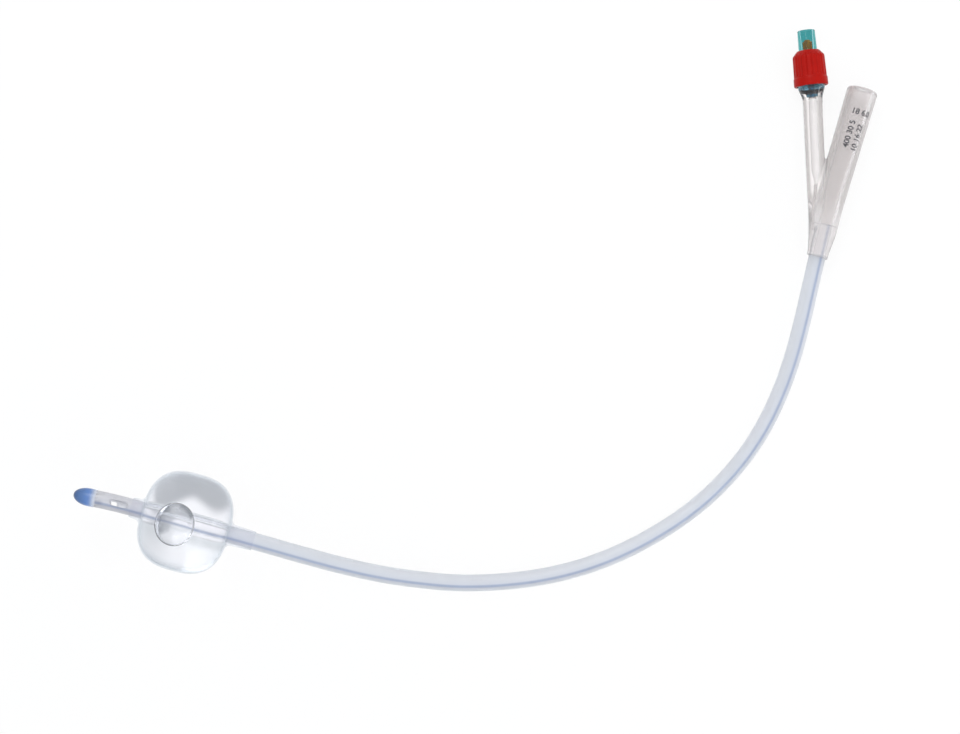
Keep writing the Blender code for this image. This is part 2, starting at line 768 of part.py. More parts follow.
def make_valve_body(plastic):
    """Syringe mouth, flange and spring chamber in one turned form."""
    shell = SHELL_DIAMETER / 2
    mouth = SYRINGE_MOUTH_DIAMETER / 2
    mouth_foot = SYRINGE_MOUTH_FOOT_DIAMETER / 2
    flange = FLANGE_DIAMETER / 2
    chamber = CHAMBER_DIAMETER / 2
    throat = THROAT_DIAMETER / 2
    cone_foot = SYRINGE_MOUTH_TOP - SYRINGE_DEPTH
    edge = (mouth - SYRINGE_BORE / 2) / 4
    outer = [
        (mouth - edge, SYRINGE_MOUTH_TOP),
        (mouth, SYRINGE_MOUTH_TOP - edge),
        (mouth_foot, FLANGE_BASE + FLANGE_THICKNESS),
        (flange, FLANGE_BASE + FLANGE_THICKNESS),
        (flange, FLANGE_BASE),
        (shell, FLANGE_BASE),
        (shell, SHELL_FOOT + edge),
        (shell - edge, SHELL_FOOT),
    ]
    inner = [
        (chamber, SHELL_FOOT),
        (chamber, CHAMBER_TOP),
        (throat, CHAMBER_TOP + SEAT_HEIGHT),
        (throat, cone_foot - edge),
        (SYRINGE_BORE / 2 - SYRINGE_TAPER / 2 * SYRINGE_DEPTH, cone_foot),
        (SYRINGE_BORE / 2, SYRINGE_MOUTH_TOP),
    ]
    body = turned_ring("valve_body", outer + inner, VALVE_FRAME)
    return as_part(body, "valve_body", plastic)


def make_valve_plunger(plastic):
    """A finned stem that a syringe pushes, the head that carries the seal, and the spring's pin."""
    core = STEM_CORE_DIAMETER / 2
    head = HEAD_DIAMETER / 2
    pin = PIN_DIAMETER / 2
    head_base = HEAD_TOP - HEAD_THICKNESS
    profile = [
        (0, PLUNGER_TOP),
        (core * 0.8, PLUNGER_TOP),
        (core, PLUNGER_TOP - core * 0.3),
        (core, HEAD_TOP),
        (head, HEAD_TOP),
        (head, head_base),
        (pin, head_base),
        (pin, head_base - PIN_LENGTH + pin / 2),
        (pin / 2, head_base - PIN_LENGTH),
        (0, head_base - PIN_LENGTH),
    ]
    plunger = turned("valve_plunger", profile, VALVE_FRAME, sides=16)
    fin_top = PLUNGER_TOP - core * 0.6
    fins = []
    for turn in (0, math.pi / 2):
        size = Matrix.Diagonal((FIN_SPAN, FIN_THICKNESS, fin_top - FIN_BASE, 1))
        spot = Matrix.Translation((0, 0, (fin_top + FIN_BASE) / 2))
        work = bmesh.new()
        bmesh.ops.create_cube(
            work, size=1, matrix=VALVE_FRAME @ spot @ Matrix.Rotation(turn, 4, "Z") @ size
        )
        mesh = bpy.data.meshes.new("stem fin")
        work.to_mesh(mesh)
        work.free()
        fins.append(as_helper(bpy.data.objects.new("stem fin", mesh)))
    boolean(plunger, "UNION", *fins)
    return as_part(plunger, "valve_plunger", plastic)


def make_valve_seal(rubber):
    """A ring with a coned top that closes against the seat."""
    bore = STEM_CORE_DIAMETER / 2 + FIT_GAP
    outer = SEAL_DIAMETER / 2
    base = HEAD_TOP + FIT_GAP
    profile = [
        (outer - SEAL_TAPER, base + SEAL_HEIGHT),
        (outer, base + SEAL_HEIGHT * 0.3),
        (outer, base),
        (bore, base),
        (bore, base + SEAL_HEIGHT),
    ]
    return as_part(turned_ring("valve_seal", profile, VALVE_FRAME), "valve_seal", rubber)


def make_valve_spring(steel):
    low = SHELL_FOOT + CAP_RIM_HEIGHT - FIT_GAP + SPRING_WIRE / 2 + FIT_GAP
    high = HEAD_TOP - HEAD_THICKNESS - SPRING_WIRE / 2 - FIT_GAP
    count = round(SPRING_TURNS * SPRING_POINTS_PER_TURN)
    radius = SPRING_DIAMETER / 2
    stations = []
    for i in range(count + 1):
        turn = 2 * math.pi * i / SPRING_POINTS_PER_TURN
        spot = Vector((radius * math.cos(turn), radius * math.sin(turn), low + (high - low) * i / count))
        stations.append((VALVE_FRAME @ spot, SPRING_WIRE / 2))
    return as_part(swept_round("valve_spring", stations, resolution=1), "valve_spring", steel)


def make_spring_cup(plastic):
    """The cap under the chamber: a rim inside it, a flange below it and a nozzle into the arm."""
    rim = CHAMBER_DIAMETER / 2 - FIT_GAP
    flange = SHELL_DIAMETER / 2
    nozzle = NOZZLE_DIAMETER / 2
    flange_top = SHELL_FOOT - FIT_GAP
    flange_base = CUP_FLOOR + FIT_GAP
    rim_top = SHELL_FOOT + CAP_RIM_HEIGHT - FIT_GAP
    profile = [
        (rim, rim_top),
        (rim, flange_top),
        (flange, flange_top),
        (flange, flange_base),
        (nozzle, flange_base),
        (nozzle * 0.85, NOZZLE_END),
        (NOZZLE_BORE / 2, NOZZLE_END),
        (NOZZLE_BORE / 2, rim_top),
    ]
    return as_part(turned_ring("spring_cup", profile, VALVE_FRAME), "spring_cup", plastic)


def make_size_collar(plastic):
    """The clamping ring: a roof on the valve's flange, a skirt with grip grooves and a lower rim."""
    side = COLLAR_DIAMETER / 2
    shoulder = COLLAR_TOP_DIAMETER / 2
    rim = COLLAR_RIM_DIAMETER / 2
    bore = CUP_OUTER_RADIUS + FIT_GAP
    hole = SYRINGE_MOUTH_FOOT_DIAMETER / 2 + FIT_GAP
    roof = COLLAR_TOP - COLLAR_ROOF
    rim_top = COLLAR_BASE + COLLAR_RIM_HEIGHT
    step = rim - side
    profile = [
        (shoulder - COLLAR_CHAMFER, COLLAR_TOP),
        (shoulder, COLLAR_TOP - COLLAR_CHAMFER_HEIGHT),
        (side, rim_top + step),
        (rim, rim_top),
        (rim, COLLAR_BASE + step),
        (rim - step, COLLAR_BASE),
        (bore, COLLAR_BASE),
        (bore, roof),
        (hole, roof),
        (hole, COLLAR_TOP),
    ]
    collar = turned_ring("size_collar", profile, VALVE_FRAME, sides=2 * GROOVES)
    groove = GROOVE_DIAMETER / 2
    work = bmesh.new()
    foot = rim_top + 2 * step
    height = COLLAR_TOP + groove - foot
    lean = Matrix.Rotation(math.atan2(shoulder - side, COLLAR_TOP - foot), 4, "Y")
    for i in range(GROOVES):
        spot = Matrix.Translation((side + groove - GROOVE_DEPTH, 0, foot))
        spot = spot @ lean @ Matrix.Translation((0, 0, height / 2))
        turn = Matrix.Rotation(2 * math.pi * (i + 0.5) / GROOVES, 4, "Z")
        bmesh.ops.create_cone(
            work,
            cap_ends=True,
            segments=8,
            radius1=groove,
            radius2=groove,
            depth=height,
            matrix=VALVE_FRAME @ turn @ spot,
        )
    mesh = bpy.data.meshes.new("grip grooves")
    work.to_mesh(mesh)
    work.free()
    boolean(collar, "DIFFERENCE", as_helper(bpy.data.objects.new("grip grooves", mesh)))
    return as_part(collar, "size_collar", plastic)


def main():
    clear_silicone = material("Clear silicone", (0.82, 0.85, 0.88), 0.35, alpha=0.6)
    blue_silicone = material("Blue silicone", (0.08, 0.16, 0.55), 0.4)
    line_silicone = material("Filled blue silicone", (0.25, 0.40, 0.75), 0.5)
    balloon_silicone = material("Balloon silicone", (0.88, 0.90, 0.92), 0.1, alpha=0.3)
    water = material("Water", (0.90, 0.95, 0.97), 0.0, alpha=0.3)
    teal_plastic = material("Clear teal plastic", (0.05, 0.50, 0.55), 0.15, alpha=0.7)
    orange_plastic = material("Orange plastic", (0.45, 0.18, 0.03), 0.45)
    dark_rubber = material("Valve rubber", (0.03, 0.03, 0.03), 0.6)
    spring_steel = material("Spring steel", (0.62, 0.62, 0.60), 0.3, metallic=1.0)
    red_plastic = material("Red plastic", (0.70, 0.02, 0.01), 0.4)
    make_tube(clear_silicone)
    make_xray_line(line_silicone)
    make_tip(blue_silicone)
    make_balloon(balloon_silicone)
    make_balloon_water(water)
    make_y_moulding(clear_silicone)
    make_valve_body(teal_plastic)
    make_valve_plunger(orange_plastic)
    make_valve_seal(dark_rubber)
    make_valve_spring(spring_steel)
    make_spring_cup(teal_plastic)
    make_size_collar(red_plastic)


main()
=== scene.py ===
"""Two-way silicone balloon catheter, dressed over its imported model."""

import math
from functools import partial

import bmesh
import bpy
import numpy as np
from mathutils import Matrix, Vector


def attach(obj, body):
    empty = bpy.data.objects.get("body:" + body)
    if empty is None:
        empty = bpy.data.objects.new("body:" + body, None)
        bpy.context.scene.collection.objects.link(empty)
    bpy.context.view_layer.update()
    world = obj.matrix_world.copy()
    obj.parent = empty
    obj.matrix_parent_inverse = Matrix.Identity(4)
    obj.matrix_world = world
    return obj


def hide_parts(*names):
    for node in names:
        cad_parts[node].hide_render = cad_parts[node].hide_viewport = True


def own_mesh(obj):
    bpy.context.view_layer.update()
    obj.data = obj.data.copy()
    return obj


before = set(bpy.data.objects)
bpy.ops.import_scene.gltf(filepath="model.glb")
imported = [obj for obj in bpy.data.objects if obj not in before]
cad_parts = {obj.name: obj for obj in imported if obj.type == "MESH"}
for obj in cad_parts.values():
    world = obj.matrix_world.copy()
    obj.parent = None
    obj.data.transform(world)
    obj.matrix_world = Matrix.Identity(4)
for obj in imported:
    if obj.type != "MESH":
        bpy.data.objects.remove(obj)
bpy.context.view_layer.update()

bl_info = {
    "name": "Silicone balloon catheter",
    "version": (1, 0, 0),
    "blender": (4, 5, 0),
    "location": "3D View > Sidebar > Catheter",
    "description": "Builds the tube, balloon, moulding and valve of a silicone balloon catheter",
    "category": "Object",
}

# The tube's centreline from its front end to its rear end: x, y, and how far it is lifted off the
# table as a share of the balloon's lift and as a share of the moulding's lift.
ROUTE = np.array(
    [
        (-0.1083, -0.10745, 1.150, 0.0),
        (-0.1035, -0.10710, 1.140, 0.0),
        (-0.0980, -0.10690, 1.1203, 0.0),
        (-0.0900, -0.10683, 1.0759, 0.0),
        (-0.0763, -0.10671, 1.0000, 0.0),
        (-0.0620, -0.10659, 0.9208, 0.0),
        (-0.0500, -0.10649, 0.8543, 0.0),
        (-0.0460, -0.10645, 0.8321, 0.0),
        (-0.0340, -0.10650, 0.7250, 0.0),
        (-0.0200, -0.10635, 0.5790, 0.0),
        (-0.0060, -0.10560, 0.4270, 0.0),
        (0.0080, -0.10385, 0.2850, 0.0),
        (0.0220, -0.10110, 0.1660, 0.0),
        (0.0360, -0.09670, 0.0790, 0.0),
        (0.0495, -0.09095, 0.0260, 0.0),
        (0.0620, -0.08385, 0.0040, 0.0),
        (0.0736, -0.07515, 0.0, 0.0),
        (0.0843, -0.06490, 0.0, 0.0),
        (0.0938, -0.05360, 0.0, 0.0),
        (0.1016, -0.04120, 0.0, 0.002),
        (0.1073, -0.02850, 0.0, 0.036),
        (0.1110, -0.01550, 0.0, 0.130),
        (0.1129, -0.00200, 0.0, 0.298),
        (0.1134, 0.01050, 0.0, 0.501),
        (0.1130, 0.02250, 0.0, 0.713),
        (0.1122, 0.03450, 0.0, 0.900),
        (0.1114, 0.04650, 0.0, 0.995),
        (0.1106, 0.05850, 0.0, 1.0),
    ]
)
BALLOON_LIFT = 0.0139
YOKE_HEIGHT = 0.00605
BALLOON_STATION = 0.0321
BALLOON_FULLNESS = 2.7
FILM = 0.0004
CUFF_RADIUS = 0.0037
LUMEN_OFFSET = 0.0004
SOCKET_DEPTH = 0.0120
FUNNEL_X = 0.1101
MOUTH_Y = 0.1086
# Places along the funnel's straight run, and its outside radius at each.
FUNNEL_RUN = ((0.0725, 0.0886, 0.1074), (0.00525, 0.00535, 0.00545))
BRANCH = np.array((0.1101, 0.0530, YOKE_HEIGHT))
ARM_ANGLE = math.radians(19)
ARM_LENGTH = 0.0500
WEB_ANGLE = math.radians(11.7)
VALVE_ANGLE = math.radians(22)
# The blue line's place round the tube: a share of the turn, 20 degrees from the top.
LINE_TURN = (90 - 20) / 360

# Settings of nodes that mix colours and that lead one value over smoothly.
COLOUR = {"data_type": "RGBA"}
SMOOTH = {"interpolation_type": "SMOOTHSTEP"}


def heading(angle):
    """The level direction that is turned an angle from +Y towards -X."""
    return np.array((-math.sin(angle), math.cos(angle), 0.0))


ARM_END = BRANCH + ARM_LENGTH * heading(ARM_ANGLE)
VALVE_SIDE = -Vector(np.cross(heading(VALVE_ANGLE), (0, 0, 1)))
VALVE_AXES = Matrix((VALVE_SIDE, (0, 0, 1), heading(VALVE_ANGLE)))
VALVE_FRAME = Matrix.Translation(ARM_END) @ VALVE_AXES.transposed().to_4x4()


def length_property(name, description, value):
    return bpy.props.FloatProperty(
        name=name, description=description, default=value, unit="LENGTH"
    )


def colour_property(name, description, value):
    """A colour that is shown and stored as sRGB, from a hex value."""
    return bpy.props.FloatVectorProperty(
        name=name,
        description=description,
        subtype="COLOR_GAMMA",
        default=shares_of(value),
        min=0,
        max=1,
    )


def shares_of(value):
    """The three shares of full in a hex value."""
    return [int(value[i : i + 2], 16) / 255 for i in (1, 3, 5)]


class CatheterSizes(bpy.types.PropertyGroup):
    """Sizes of the finished surfaces"""

    tube_diameter: length_property("Tube diameter", "Outside of the tube", 0.006)
    lumen_diameter: length_property("Drainage lumen", "Bore that drains", 0.003)
    line_width: length_property("Blue line", "Width of the blue line", 0.0011)
    balloon_diameter: length_property("Balloon diameter", "Filled balloon", 0.035)
    balloon_length: length_property("Balloon length", "Filled balloon", 0.0316)
    moulding_grain: length_property("Moulding grain", "Size of its faces", 0.00026)
    print_height: length_property("Print height", "Height of the figures", 0.0028)
    ribs: bpy.props.IntProperty(
        name="Collar ribs", description="Grip ribs round the collar", default=18, min=6
    )


class CatheterColours(bpy.types.PropertyGroup):
    """Colours of the materials"""

    silicone: colour_property("Tube silicone", "Milky tube", "#e4e6ea")
    moulding: colour_property("Moulding silicone", "Clearer moulding", "#f9f5f4")
    line: colour_property("Blue line", "Filled silicone line", "#a3afc9")
    tip: colour_property("Tip", "Blue nose", "#6e96d4")
    film: colour_property("Balloon film", "Thin clear film", "#f6f7f8")
    teal: colour_property("Valve body", "Clear teal plastic", "#a9dade")
    stem: colour_property("Valve stem", "Orange-brown plastic", "#d0660a")
    # The spring cup's blue-teal is its teal deepened in part as painted shade, for the darkness
    # that refraction through the silicone round it gives it.
    cap: colour_property("Spring cup", "Teal plastic with painted shade", "#6499b0")
    collar: colour_property("Collar", "Red plastic", "#b2130a")
    ink: colour_property("Print", "Dark ink", "#2c2a2e")


def linear(colour):
    """sRGB, as a hex value or three shares, to linear RGBA."""
    shares = np.array(shares_of(colour) if isinstance(colour, str) else colour[:3])
    low = shares / 12.92
    high = ((shares + 0.055) / 1.055) ** 2.4
    return (*np.where(shares <= 0.04045, low, high).tolist(), 1.0)


def toned(colour, gain, lift=0.0):
    """A colour's linear RGBA times a gain and raised by a lift, up to full."""
    return [min(1.0, gain * c + lift) for c in linear(colour)[:3]] + [1.0]


def add_node(tree, kind, inputs=None, **settings):
    """Adds a node. Each input is a value to set, or an output or a node to link from: of a node,
    the first output that it shows."""
    node = tree.nodes.new("ShaderNode" + kind)
    for name, value in settings.items():
        setattr(node, name, value)
    for key, value in (inputs or {}).items():
        if isinstance(value, bpy.types.Node):
            value = next(output for output in value.outputs if output.enabled)
        if isinstance(value, bpy.types.NodeSocket):
            tree.links.new(value, node.inputs[key])
        else:
            node.inputs[key].default_value = value
    return node


def new_material(name):
    """An empty node material: itself, add_node for its tree, and its object coordinates."""
    made = bpy.data.materials.new(name)
    made.use_nodes = True
    made.node_tree.nodes.clear()
    add = partial(add_node, made.node_tree)
    return made, add, add("TexCoord").outputs["Object"]


def span(low, high, first=0.0, last=1.0):
    """Inputs that lead what lies from low to high over into first to last."""
    return {"From Min": low, "From Max": high, "To Min": first, "To Max": last}


def unit(rows):
    """Rows of three, each made one long."""
    return rows / np.linalg.norm(rows, axis=1, keepdims=True)


# Shapes


def catmull_rom(knots, samples):
    """Points on a centripetal Catmull-Rom curve, by the pyramid of linear blends for each span."""
    knots = np.asarray(knots, dtype=float)
    ends = 2 * knots[[0, -1]] - knots[[1, -2]]
    knots = np.vstack([ends[:1], knots, ends[1:]])
    steps = np.sqrt(np.linalg.norm(np.diff(knots, axis=0), axis=1))
    times = np.concatenate([[0], np.cumsum(steps)])
    spans = np.arange(1, len(knots) - 2)[:, None]
    t = times[spans] + (times[spans + 1] - times[spans]) * np.arange(samples) / samples
    t = t[..., None]

    def blend(low, high, first, second):
        a = times[spans + low][..., None]
        b = times[spans + high][..., None]
        return (first * (b - t) + second * (t - a)) / (b - a)

    first, middle, last = (
        blend(i, i + 1, knots[spans + i], knots[spans + i + 1]) for i in (-1, 0, 1)
    )
    points = blend(0, 1, blend(-1, 1, first, middle), blend(0, 2, middle, last))
    return np.vstack([points.reshape(-1, knots.shape[1]), knots[-2]])


class Centreline:
    """The tube's route, with its section axes: outward, upward and back along the tube."""

    def __init__(self):
        radius = bpy.context.scene.catheter_sizes.tube_diameter / 2
        height = radius + ROUTE[:, 2] * BALLOON_LIFT + ROUTE[:, 3] * (YOKE_HEIGHT - radius)
        self.points = catmull_rom(np.column_stack([ROUTE[:, :2], height]), 24)
        steps = np.linalg.norm(np.diff(self.points, axis=0), axis=1)
        self.along = np.concatenate([[0], np.cumsum(steps)])
        self.length = float(self.along[-1])
        self.slopes = np.gradient(self.points, self.along, axis=0)

    def at(self, distance):
        """Points, and outward, upward and backward directions, each as rows of three."""
        distance = np.atleast_1d(distance)
        inside = np.clip(distance, 0, self.length)
        point = np.column_stack([np.interp(inside, self.along, p) for p in self.points.T])
        back = np.column_stack([np.interp(inside, self.along, s) for s in self.slopes.T])
        back = unit(back)
        outward = unit(np.cross(back, (0, 0, 1)))
        point += (distance - inside)[:, None] * back
        return point, outward, np.cross(outward, back), back

    def frame(self, distance):
        """A matrix at one station: X outward, Y up, Z forward along the tube to the tip."""
        point, outward, upward, back = (Vector(a[0]) for a in self.at(distance))
        turn = Matrix((outward, upward, -back)).transposed().to_4x4()
        return Matrix.Translation(point) @ turn


def round_turn(sides):
    """Angles evenly round one turn."""
    return 2 * np.pi * np.arange(sides) / sides


def placed(points, matrix):
    """Points in a matrix's own axes, as points in the row's frame."""
    return points @ np.array(matrix.to_3x3()).T + np.array(matrix.translation)


def turned(profile, matrix, sides, swell=0.0, shift=0.0):
    """A profile of (radius, height) carried round a matrix's Z axis: a grid of rows and columns.

    The swell adds to the radius by row and column, and the shift moves each row along X.
    """
    profile = np.asarray(profile)
    turn = round_turn(sides)
    radius = profile[:, :1] + swell
    height = profile[:, 1:] + 0 * turn
    across = radius * np.cos(turn) + np.reshape(shift, (-1, 1))
    return placed(np.stack([across, radius * np.sin(turn), height], axis=-1), matrix)


def rounded(profile, reach, steps=4):
    """A closed profile with round corners: each becomes a quadratic curve between points on its two
    sides, the reach away from it or just under half a side."""
    corners = np.asarray(profile, dtype=float)
    t = np.linspace(0, 1, steps + 1)[None, :, None]
    curve = corners[:, None]
    for neighbour, share in ((1, (1 - t) ** 2), (-1, t**2)):
        side = (np.roll(corners, neighbour, axis=0) - corners)[:, None]
        curve = curve + share * (
            side * np.minimum(0.48, reach / np.linalg.norm(side, axis=2, keepdims=True))
        )
    return curve.reshape(-1, 2)


def swept(line, radius, sides):
    """Rings of one radius square to a line of points, closed with a point at each end."""
    back = unit(np.gradient(line, axis=0))
    side = unit(np.cross(back, (0, 0, 1)))
    return capped(line[:, None] + radius * around(side, np.cross(side, back), sides))


def around(first, second, sides):
    """Rings of directions, each from the first direction of its row towards the second."""
    turn = round_turn(sides)[:, None]
    return first[:, None] * np.cos(turn) + second[:, None] * np.sin(turn)


def capped(rings):
    """Rings with a point in the middle of the first and the last, to close the ends."""
    ends = [np.broadcast_to(rings[i].mean(axis=0), rings[:1].shape) for i in (0, -1)]
    return np.concatenate([ends[0], rings, ends[1]])


def shell(points, wrap_rows=False, hollow=False):
    """Vertices, quads and a map over a grid whose columns close into rings.

    The map gives each corner its column's share of the turn and its row's share of the rows. Quads
    face outwards, or inwards into a hollow, by the sign of the volume that they enclose.
    """
    rows, columns = points.shape[:2]
    row = np.arange(rows if wrap_rows else rows - 1)[:, None]
    column = np.arange(columns)[None, :]
    corners = [(row, column), (row, column + 1), (row + 1, column + 1), (row + 1, column)]
    faces = np.stack([(r % rows) * columns + c % columns for r, c in corners], axis=-1)
    turns = [np.stack(np.broadcast_arrays(c / columns, r / rows), axis=-1) for r, c in corners]
    faces = faces.reshape(-1, 4)
    places = np.stack(turns, axis=2).reshape(-1, 4, 2)
    vertices = points.reshape(-1, 3)
    p = vertices[faces] - vertices.mean(axis=0)
    volume = np.einsum("ij,ij->", p[:, 0], np.cross(p[:, 1], p[:, 2]))
    volume += np.einsum("ij,ij->", p[:, 0], np.cross(p[:, 2], p[:, 3]))
    if (volume < 0) != hollow:
        faces = faces[:, ::-1]
        places = places[:, ::-1]
    return vertices, faces, places


def make_piece(name, shells, materials, body="catheter", sharp=40):
    """One object from one or more shells, each with its material's number."""
    starts = np.cumsum([0] + [len(points) for (points, _, _), _ in shells])
    vertices = np.vstack([points for (points, _, _), _ in shells])
    faces = np.vstack([quads + start for ((_, quads, _), _), start in zip(shells, starts)])
    places = np.vstack([uvs for (_, _, uvs), _ in shells])
    numbers = [np.broadcast_to(number, len(quads)) for (_, quads, _), number in shells]
    mesh = bpy.data.meshes.new(name)
    mesh.from_pydata(vertices, [], faces.tolist())
    mesh.uv_layers.new(name="Surface").data.foreach_set("uv", places.ravel())
    mesh.polygons.foreach_set("material_index", np.concatenate(numbers).astype(np.int32))
    weld(mesh)
    mesh.shade_smooth()
    mesh.set_sharp_from_angle(angle=math.radians(sharp))
    return add_piece(name, mesh, materials, body)


def add_piece(name, mesh, materials, body="catheter"):
    """An object of a finished mesh, with its materials and the body that it moves with."""
    for made in materials:
        mesh.materials.append(made)
    piece = bpy.data.objects.new(name, mesh)
    bpy.context.scene.collection.objects.link(piece)
    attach(piece, body)
    return piece


def weld(mesh):
    """Closes poles and seams."""
    work = bmesh.new()
    work.from_mesh(mesh)
    bmesh.ops.remove_doubles(work, verts=work.verts, dist=1e-8)
    work.to_mesh(mesh)
    work.free()


def cut_away(piece, cutters):
    """Cuts closed grids out of a piece and keeps the result as its mesh."""
    for points in cutters:
        vertices, faces, _ = shell(points)
        mesh = bpy.data.meshes.new("cutter")
        mesh.from_pydata(vertices, [], faces.tolist())
        weld(mesh)
        cutter = bpy.data.objects.new("cutter", mesh)
        bpy.context.scene.collection.objects.link(cutter)
        modifier = piece.modifiers.new("Cut", "BOOLEAN")
        modifier.object = cutter
        modifier.solver = "EXACT"
        graph = bpy.context.evaluated_depsgraph_get()
        piece.data = bpy.data.meshes.new_from_object(piece.evaluated_get(graph))
        piece.modifiers.clear()
        bpy.data.objects.remove(cutter, do_unlink=True)


def lesser(a, b, reach):
    """The lesser of two distances, less a parabola where they are within a reach of each other."""
    share = np.maximum(reach - np.abs(a - b), 0) / reach
    return np.minimum(a, b) - share**2 * reach / 4


def greater(a, b, reach):
    return -lesser(-a, -b, reach)


def surface_net(distance, low, high, step):
    """Vertices and quads where a distance is zero: a vertex in each cell that the surface crosses,
    at the mean of the crossings on its edges, then moved down the slope onto the surface."""
    axes = [np.arange(a, b + step, step) for a, b in zip(low, high)]
    grid = np.stack(np.meshgrid(*axes, indexing="ij"), axis=-1)
    values = distance(grid.reshape(-1, 3)).reshape(grid.shape[:3])
    sums = np.zeros(grid.shape)
    counts = np.zeros(grid.shape[:3])
    rings = []
    for axis in range(3):
        one = np.eye(3, dtype=int)[axis]
        left, right = (np.roll(np.eye(3, dtype=int), -axis, axis=0)[i] for i in (1, 2))
        ends = tuple(slice(0, n - k) for n, k in zip(values.shape, one))
        start = values[ends]
        end = np.roll(values, -1, axis=axis)[ends]
        spots = np.argwhere((start < 0) != (end < 0))
        at = tuple(spots.T)
        share = start[at] / (start[at] - end[at])
        crossings = grid[at] + share[:, None] * step * one
        beside = [spots, spots - left, spots - left - right, spots - right]
        for cells in beside:
            np.add.at(sums, tuple(cells.T), crossings)
            np.add.at(counts, tuple(cells.T), 1)
        ring = np.stack(beside, axis=1)
        entering = start[at] >= 0
        ring[entering] = ring[entering][:, ::-1]
        rings.append(ring)
    number = np.cumsum(counts.ravel() > 0).reshape(counts.shape) - 1
    vertices = sums[counts > 0] / counts[counts > 0][:, None]
    rings = np.concatenate(rings)
    faces = number[rings[..., 0], rings[..., 1], rings[..., 2]]
    # The slope comes from points a twentieth of a step to each side. A round moves a vertex by half
    # a step at most along each axis, and no slope counts as flatter than the flattest.
    rounds = 4
    nudge = step * 0.05
    nudges = np.eye(3) * nudge
    flattest = 0.05
    slope = None
    for _ in range(rounds):
        slope = np.stack([distance(vertices + n) - distance(vertices - n) for n in nudges], axis=1)
        slope /= 2 * nudge
        size = np.maximum(np.sum(slope**2, axis=1), flattest)
        move = distance(vertices)[:, None] * slope / size[:, None]
        vertices = vertices - np.clip(move, -step / 2, step / 2)
    return vertices, faces, unit(slope)


# Materials


def waves(spacing):
    """The scale of a noise whose marks are so many millimetres apart."""
    return 1000 / spacing


def drifting(add, where, spacing, detail, first, second):
    """A colour that drifts between two tones, with marks so many millimetres apart."""
    noise = add("TexNoise", {"Vector": where, "Scale": waves(spacing), "Detail": detail})
    return add("Mix", {0: noise, 6: first, 7: second}, **COLOUR)


def uneven_skin(add, where, spacing, strength, depth):
    """The normal of a skin with fine marks so many millimetres apart."""
    noise = add("TexNoise", {"Vector": where, "Scale": waves(spacing), "Detail": 2.0})
    return add("Bump", {"Height": noise, "Strength": strength, "Distance": depth})


def milky_silicone(
    name, colour, clear, roughness, bend=1.41, line=None, ripples=0.12, cloudy=0.045, halo=0.2
):
    """Platinum-cured silicone rubber, extruded or moulded: milky, with a soft satin skin.

    Uneven curing clouds it a little every few millimetres, and the skin has fine ripples from the
    die or the mould, which keep its highlights from being ruler-straight. Where it lies in water or
    in other silicone, the two bend light nearly alike and its outline almost disappears.
    """
    made, add, where = new_material(name)
    skin = uneven_skin(add, where, 1.111, ripples, 0.00003)
    shade = drifting(add, where, 4.545, 3.0, toned(colour, 1 - cloudy), linear(colour))
    if line is not None:
        shade = lined(add, shade, linear(line), halo)
    rubber = {"Base Color": shade, "Roughness": roughness, "IOR": bend, "Normal": skin}
    shader = add("BsdfPrincipled", {**rubber, "Transmission Weight": clear})
    add("OutputMaterial", {"Surface": shader})
    return made


def lined(add, shade, line, halo):
    """A tube's shade with the filled line along it. The line glows a little in the milky wall to
    each side, and the tube is slightly greyer in front of its balloon."""
    sizes = bpy.context.scene.catheter_sizes
    half = sizes.line_width / (math.pi * sizes.tube_diameter) / 2
    glow_reach = 0.16
    greyer_until, plain_from = 0.018, 0.03
    place = add("SeparateXYZ", {"Vector": add("UVMap", uv_map="Surface")}).outputs
    offset = add("Math", {0: place["X"], 1: LINE_TURN}, operation="SUBTRACT")
    away = add("Math", {0: offset}, operation="ABSOLUTE")
    for full, none, most in ((0.0, glow_reach, halo), (half * 0.1, half * 1.6, 1.0)):
        share = add("MapRange", {"Value": away, **span(full, none, most, 0.0)}, **SMOOTH)
        shade = add("Mix", {0: share, 6: shade, 7: line}, **COLOUR)
    fading = span(greyer_until, plain_from, 1.0, 0.0)
    front = add("MapRange", {"Value": place["Y"], **fading}, **SMOOTH)
    tones = {0: front, 6: shade, 7: linear("#f5f2f2")}
    return add("Mix", tones, blend_type="MULTIPLY", **COLOUR)


def blue_nose_silicone(blue, clear):
    """Silicone rubber moulded in blue, bonded to the tube: the blue runs out into clear rubber over
    two to three millimetres at its rear, and deepens towards its nose."""
    made, add, where = new_material("Moulded blue silicone")
    along = add("Attribute", attribute_name="Along").outputs["Fac"]
    cloud = add("TexNoise", {"Vector": where, "Scale": waves(2.0), "Detail": 2.0})
    wander = add("Math", {0: cloud, 1: 0.0008, 2: along}, operation="MULTIPLY_ADD")
    filled = add("MapRange", {"Value": wander, **span(0.0006, 0.0032)}, **SMOOTH)
    tone = add("MapRange", {"Value": wander, **span(0.0032, 0.0085)})
    body = add("Mix", {0: tone, 6: linear(blue), 7: toned(blue, 0.5)}, **COLOUR)
    shade = add("Mix", {0: filled, 6: linear(clear), 7: body}, **COLOUR)
    rubber = {"Base Color": shade, "Roughness": 0.22, "IOR": 1.41, "Transmission Weight": 0.7}
    add("OutputMaterial", {"Surface": add("BsdfPrincipled", rubber)})
    return made


